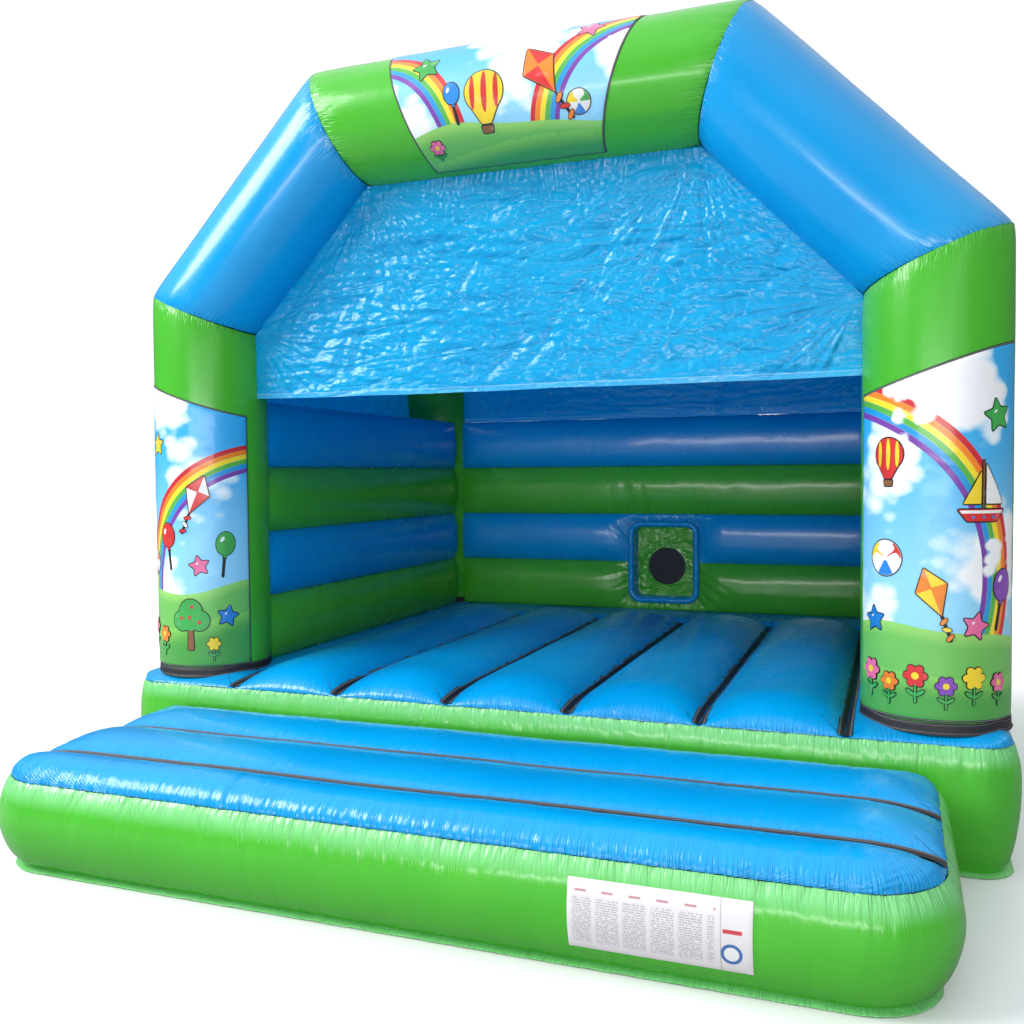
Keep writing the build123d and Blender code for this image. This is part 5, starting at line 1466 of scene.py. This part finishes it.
AIR_X, AIR_Z, AIR_R, TIE_Y = 0.9, 0.165, 0.100, 2.0825
SLEEVE_ROOT, SLEEVE_LONG = 1.600, 0.510
SPIGOT_Y, SPIGOT_R = 2.04, 0.0936  # where the blower's outlet begins inside the sleeve
STRAP_R, TONGUE_R, BUCKLE_R = 0.0972, 0.0990, 0.1015
turn = circle(180)[:, None]
along = SLEEVE_ROOT + SLEEVE_LONG * (0.5 - 0.5 * np.cos(np.linspace(0, math.pi, 110)))[None]
near_tie = np.abs(along - TIE_Y)
tied = np.exp(-((near_tie / 0.018) ** 4))
radius = AIR_R - 0.0022 - 0.0042 * tied + 0.0015 * noise(3 * np.cos(turn), along / 0.12, 861)
radius = radius - 0.0022 * pucker(turn * AIR_R, near_tie, 862, pitch=0.014, reach=0.05) * (1 - tied)
radius = radius - 0.0020 * pucker(turn * AIR_R, along - 1.63, 864, pitch=0.018, reach=0.05)
radius = np.where(along > SPIGOT_Y, np.maximum(radius, SPIGOT_R), radius)
points = stacked(AIR_X + radius * np.cos(turn), along, AIR_Z + radius * np.sin(turn))
uv = stacked(AIR_R * np.append(turn, math.tau)[:, None], np.minimum(near_tie, np.abs(along - 1.632)))
sleeve = Shape().grid(points, uv, wrap=True, flip=True).build("air_sleeve_soft", blue, "air_inlet_tube")
buckle_strap = Shape()
a = np.linspace(0, math.tau, 181)
around = stacked(AIR_X + STRAP_R * np.cos(a), TIE_Y, AIR_Z + STRAP_R * np.sin(a))
ribbon(buckle_strap, around, (0, 1, 0), 0.024, 0.0022, swap=True)
a = np.linspace(-0.5, 0.9, 30)
tongue = stacked(AIR_X + TONGUE_R * np.sin(a), TIE_Y, AIR_Z + TONGUE_R * np.cos(a))
ribbon(buckle_strap, tongue, (0, 1, 0), 0.022, 0.0018)
bar = np.linspace(0, 1, 24)
for y in (2.0680, 2.0970):
    side_bar = stacked(AIR_X - 0.020 + 0.040 * bar, y, AIR_Z + BUCKLE_R - 0.0018 * (2 * bar - 1) ** 2)
    ribbon(buckle_strap, side_bar, (0, 1, 0), 0.004, 0.005)
for x in (-0.018, 0.0, 0.018):
    ribbon(buckle_strap, stacked(AIR_X + x, 2.066 + 0.033 * bar, AIR_Z + BUCKLE_R + 0.0003), (1, 0, 0), 0.004, 0.005)
buckle_strap.build("tube_strap_soft", stitched_tape("tube_webbing", (-0.008, 0.008)))


# ---- blower, rings and slider: the CAD shapes with their own finishes -----------------------------------------
def dress(finish, *nodes):
    """Gives CAD nodes a finish."""
    for node in nodes:
        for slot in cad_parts[node].material_slots:
            slot.material = finish.material


def moulded(name, colour, rough=0.42, worn=(0.75, 0.62, 0.5)):
    """Moulded plastic: fine spark-eroded grain, flow marks and pale scuffs."""
    f = Finish(name, None, colour, rough)
    f.paint(tuple(c * 0.72 for c in colour), f.grain(5.0, 3).step(0.4, 0.8) * 0.4)
    scuffs = f.grain(1.0, 4, f.stretch(30.0, 160.0, 30.0), distortion=0.4).step(0.66, 0.74)
    f.paint(worn, scuffs * f.grain(6.0, 2).step(0.5, 0.62) * 0.35)
    f.bump(f.grain(900.0, 1), 0.0002, 0.6)
    f.gloss(f.grain(11.0, 3) * 0.18 + (rough - 0.08))
    return f


def bare_metal(name, colour, rough, spangle=60.0):
    """Metal with a crystalline or brushed variation in tone and gloss."""
    f = Finish(name, None, colour, rough, metallic=1.0)
    tone = f.cells(spangle)
    f.paint(tuple(c * 0.62 for c in colour), tone.step(0.1, 0.7) * 0.5)
    f.paint((0.16, 0.13, 0.11), f.grain(35.0, 4).step(0.62, 0.74) * 0.4)
    f.bump(f.grain(350.0, 2), 0.0001, 0.5)
    f.gloss(tone * 0.2 + rough)
    return f


dress(moulded("blower_shell", (0.82, 0.17, 0.015)), "blower_left_housing", "blower_right_housing")
dress(moulded("impeller_plastic", (0.05, 0.05, 0.055), 0.5, (0.2, 0.2, 0.2)), "blower_impeller")
dress(moulded("switch_plastic", (0.02, 0.02, 0.022), 0.38, (0.15, 0.15, 0.15)), "blower_switch_box")
dress(moulded("rocker_plastic", (0.55, 0.02, 0.015), 0.3, (0.7, 0.4, 0.4)), "blower_switch_rocker")
dress(moulded("foot_rubber", (0.018, 0.018, 0.018), 0.82, (0.16, 0.15, 0.14)), "blower_feet")
dress(bare_metal("motor_casting", (0.34, 0.35, 0.37), 0.42, 240.0), "blower_motor")
dress(bare_metal("grille_wire", (0.10, 0.10, 0.11), 0.36, 300.0), "blower_inlet_grille")
zinc = bare_metal("zinc_steel", (0.62, 0.63, 0.65), 0.26, 130.0)
dress(zinc, "blower_screws", *[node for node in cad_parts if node.endswith("_anchor_ring")])
dress(bare_metal("slider_metal", (0.50, 0.49, 0.47), 0.3, 400.0), "zip_slider")
dress(web, "floor_baffles")

# ---- stage and light ------------------------------------------------------------------------------------------
floor_mesh = bpy.data.meshes.new("studio_floor")
FAR = 40.0
floor_mesh.from_pydata([(-FAR, -FAR, 0), (FAR, -FAR, 0), (FAR, FAR, 0), (-FAR, FAR, 0)], [], [(0, 1, 2, 3)])
floor_paint = Finish("studio_floor", None, (0.34, 0.34, 0.35), 0.6, specular_ior_level=0.2)
fx, fy, _ = floor_paint.axes()
floor_paint.shader.inputs["Emission Color"].default_value = (1, 1, 1, 1)
to_camera = Value(floor_paint.tree, floor_paint.node("ShaderNodeLightPath").outputs["Is Camera Ray"])
floor_paint.paint((0.90, 0.90, 0.91), to_camera)
fade = fx.hypot(fy + 0.6).step(2.6, 5.0) * to_camera
floor_paint.tree.links.new(fade.socket, floor_paint.shader.inputs["Emission Strength"])
floor_mesh.materials.append(floor_paint.material)
studio_floor = bpy.data.objects.new("studio_floor", floor_mesh)
bpy.context.scene.collection.objects.link(studio_floor)

# the backdrop is even to the camera, and lights the object from above more than from the sides
SKY = {"From Min": 0.15, "From Max": 0.85, "To Min": 0.14, "To Max": 1.15}
world = bpy.data.worlds.new("studio")
world.use_nodes = True
links, nodes = world.node_tree.links, world.node_tree.nodes
backdrop = nodes["Background"]
backdrop.inputs[0].default_value = (0.93, 0.96, 1.0, 1)
split = nodes.new("ShaderNodeSeparateXYZ")
links.new(nodes.new("ShaderNodeTexCoord").outputs["Generated"], split.inputs[0])
overhead = nodes.new("ShaderNodeMapRange")
overhead.interpolation_type = "SMOOTHSTEP"
for socket, value in SKY.items():
    overhead.inputs[socket].default_value = value
links.new(split.outputs[2], overhead.inputs["Value"])
brightness = nodes.new("ShaderNodeMix")
links.new(nodes.new("ShaderNodeLightPath").outputs["Is Camera Ray"], brightness.inputs[0])
links.new(overhead.outputs["Result"], brightness.inputs[2])
brightness.inputs[3].default_value = 1.1
links.new(brightness.outputs[0], backdrop.inputs[1])
bpy.context.scene.world = world


def softbox(name, place, target, size, power):
    """A rectangular studio light that faces its target."""
    light = bpy.data.lights.new(name, "AREA")
    light.shape, light.energy = "RECTANGLE", power
    light.size, light.size_y = size
    lamp = bpy.data.objects.new(name, light)
    facing = (Vector(target) - Vector(place)).to_track_quat("-Z", "Y").to_matrix().to_4x4()
    lamp.matrix_world = Matrix.Translation(place) @ facing
    bpy.context.scene.collection.objects.link(lamp)


softbox("key", (-6.5, -6.0, 6.5), (0, -0.5, 1.2), (4.0, 4.0), 820)
softbox("front", (1.0, -10.0, 1.9), (0, 0, 1.1), (8.0, 0.8), 270)
softbox("fill", (5.5, -8.0, 4.0), (0, -0.5, 1.0), (4.0, 4.0), 40)
softbox("rear", (1.0, 9.0, 5.5), (0, 0, 1.2), (6.0, 4.0), 240)
bpy.context.scene.view_settings.view_transform = "Standard"
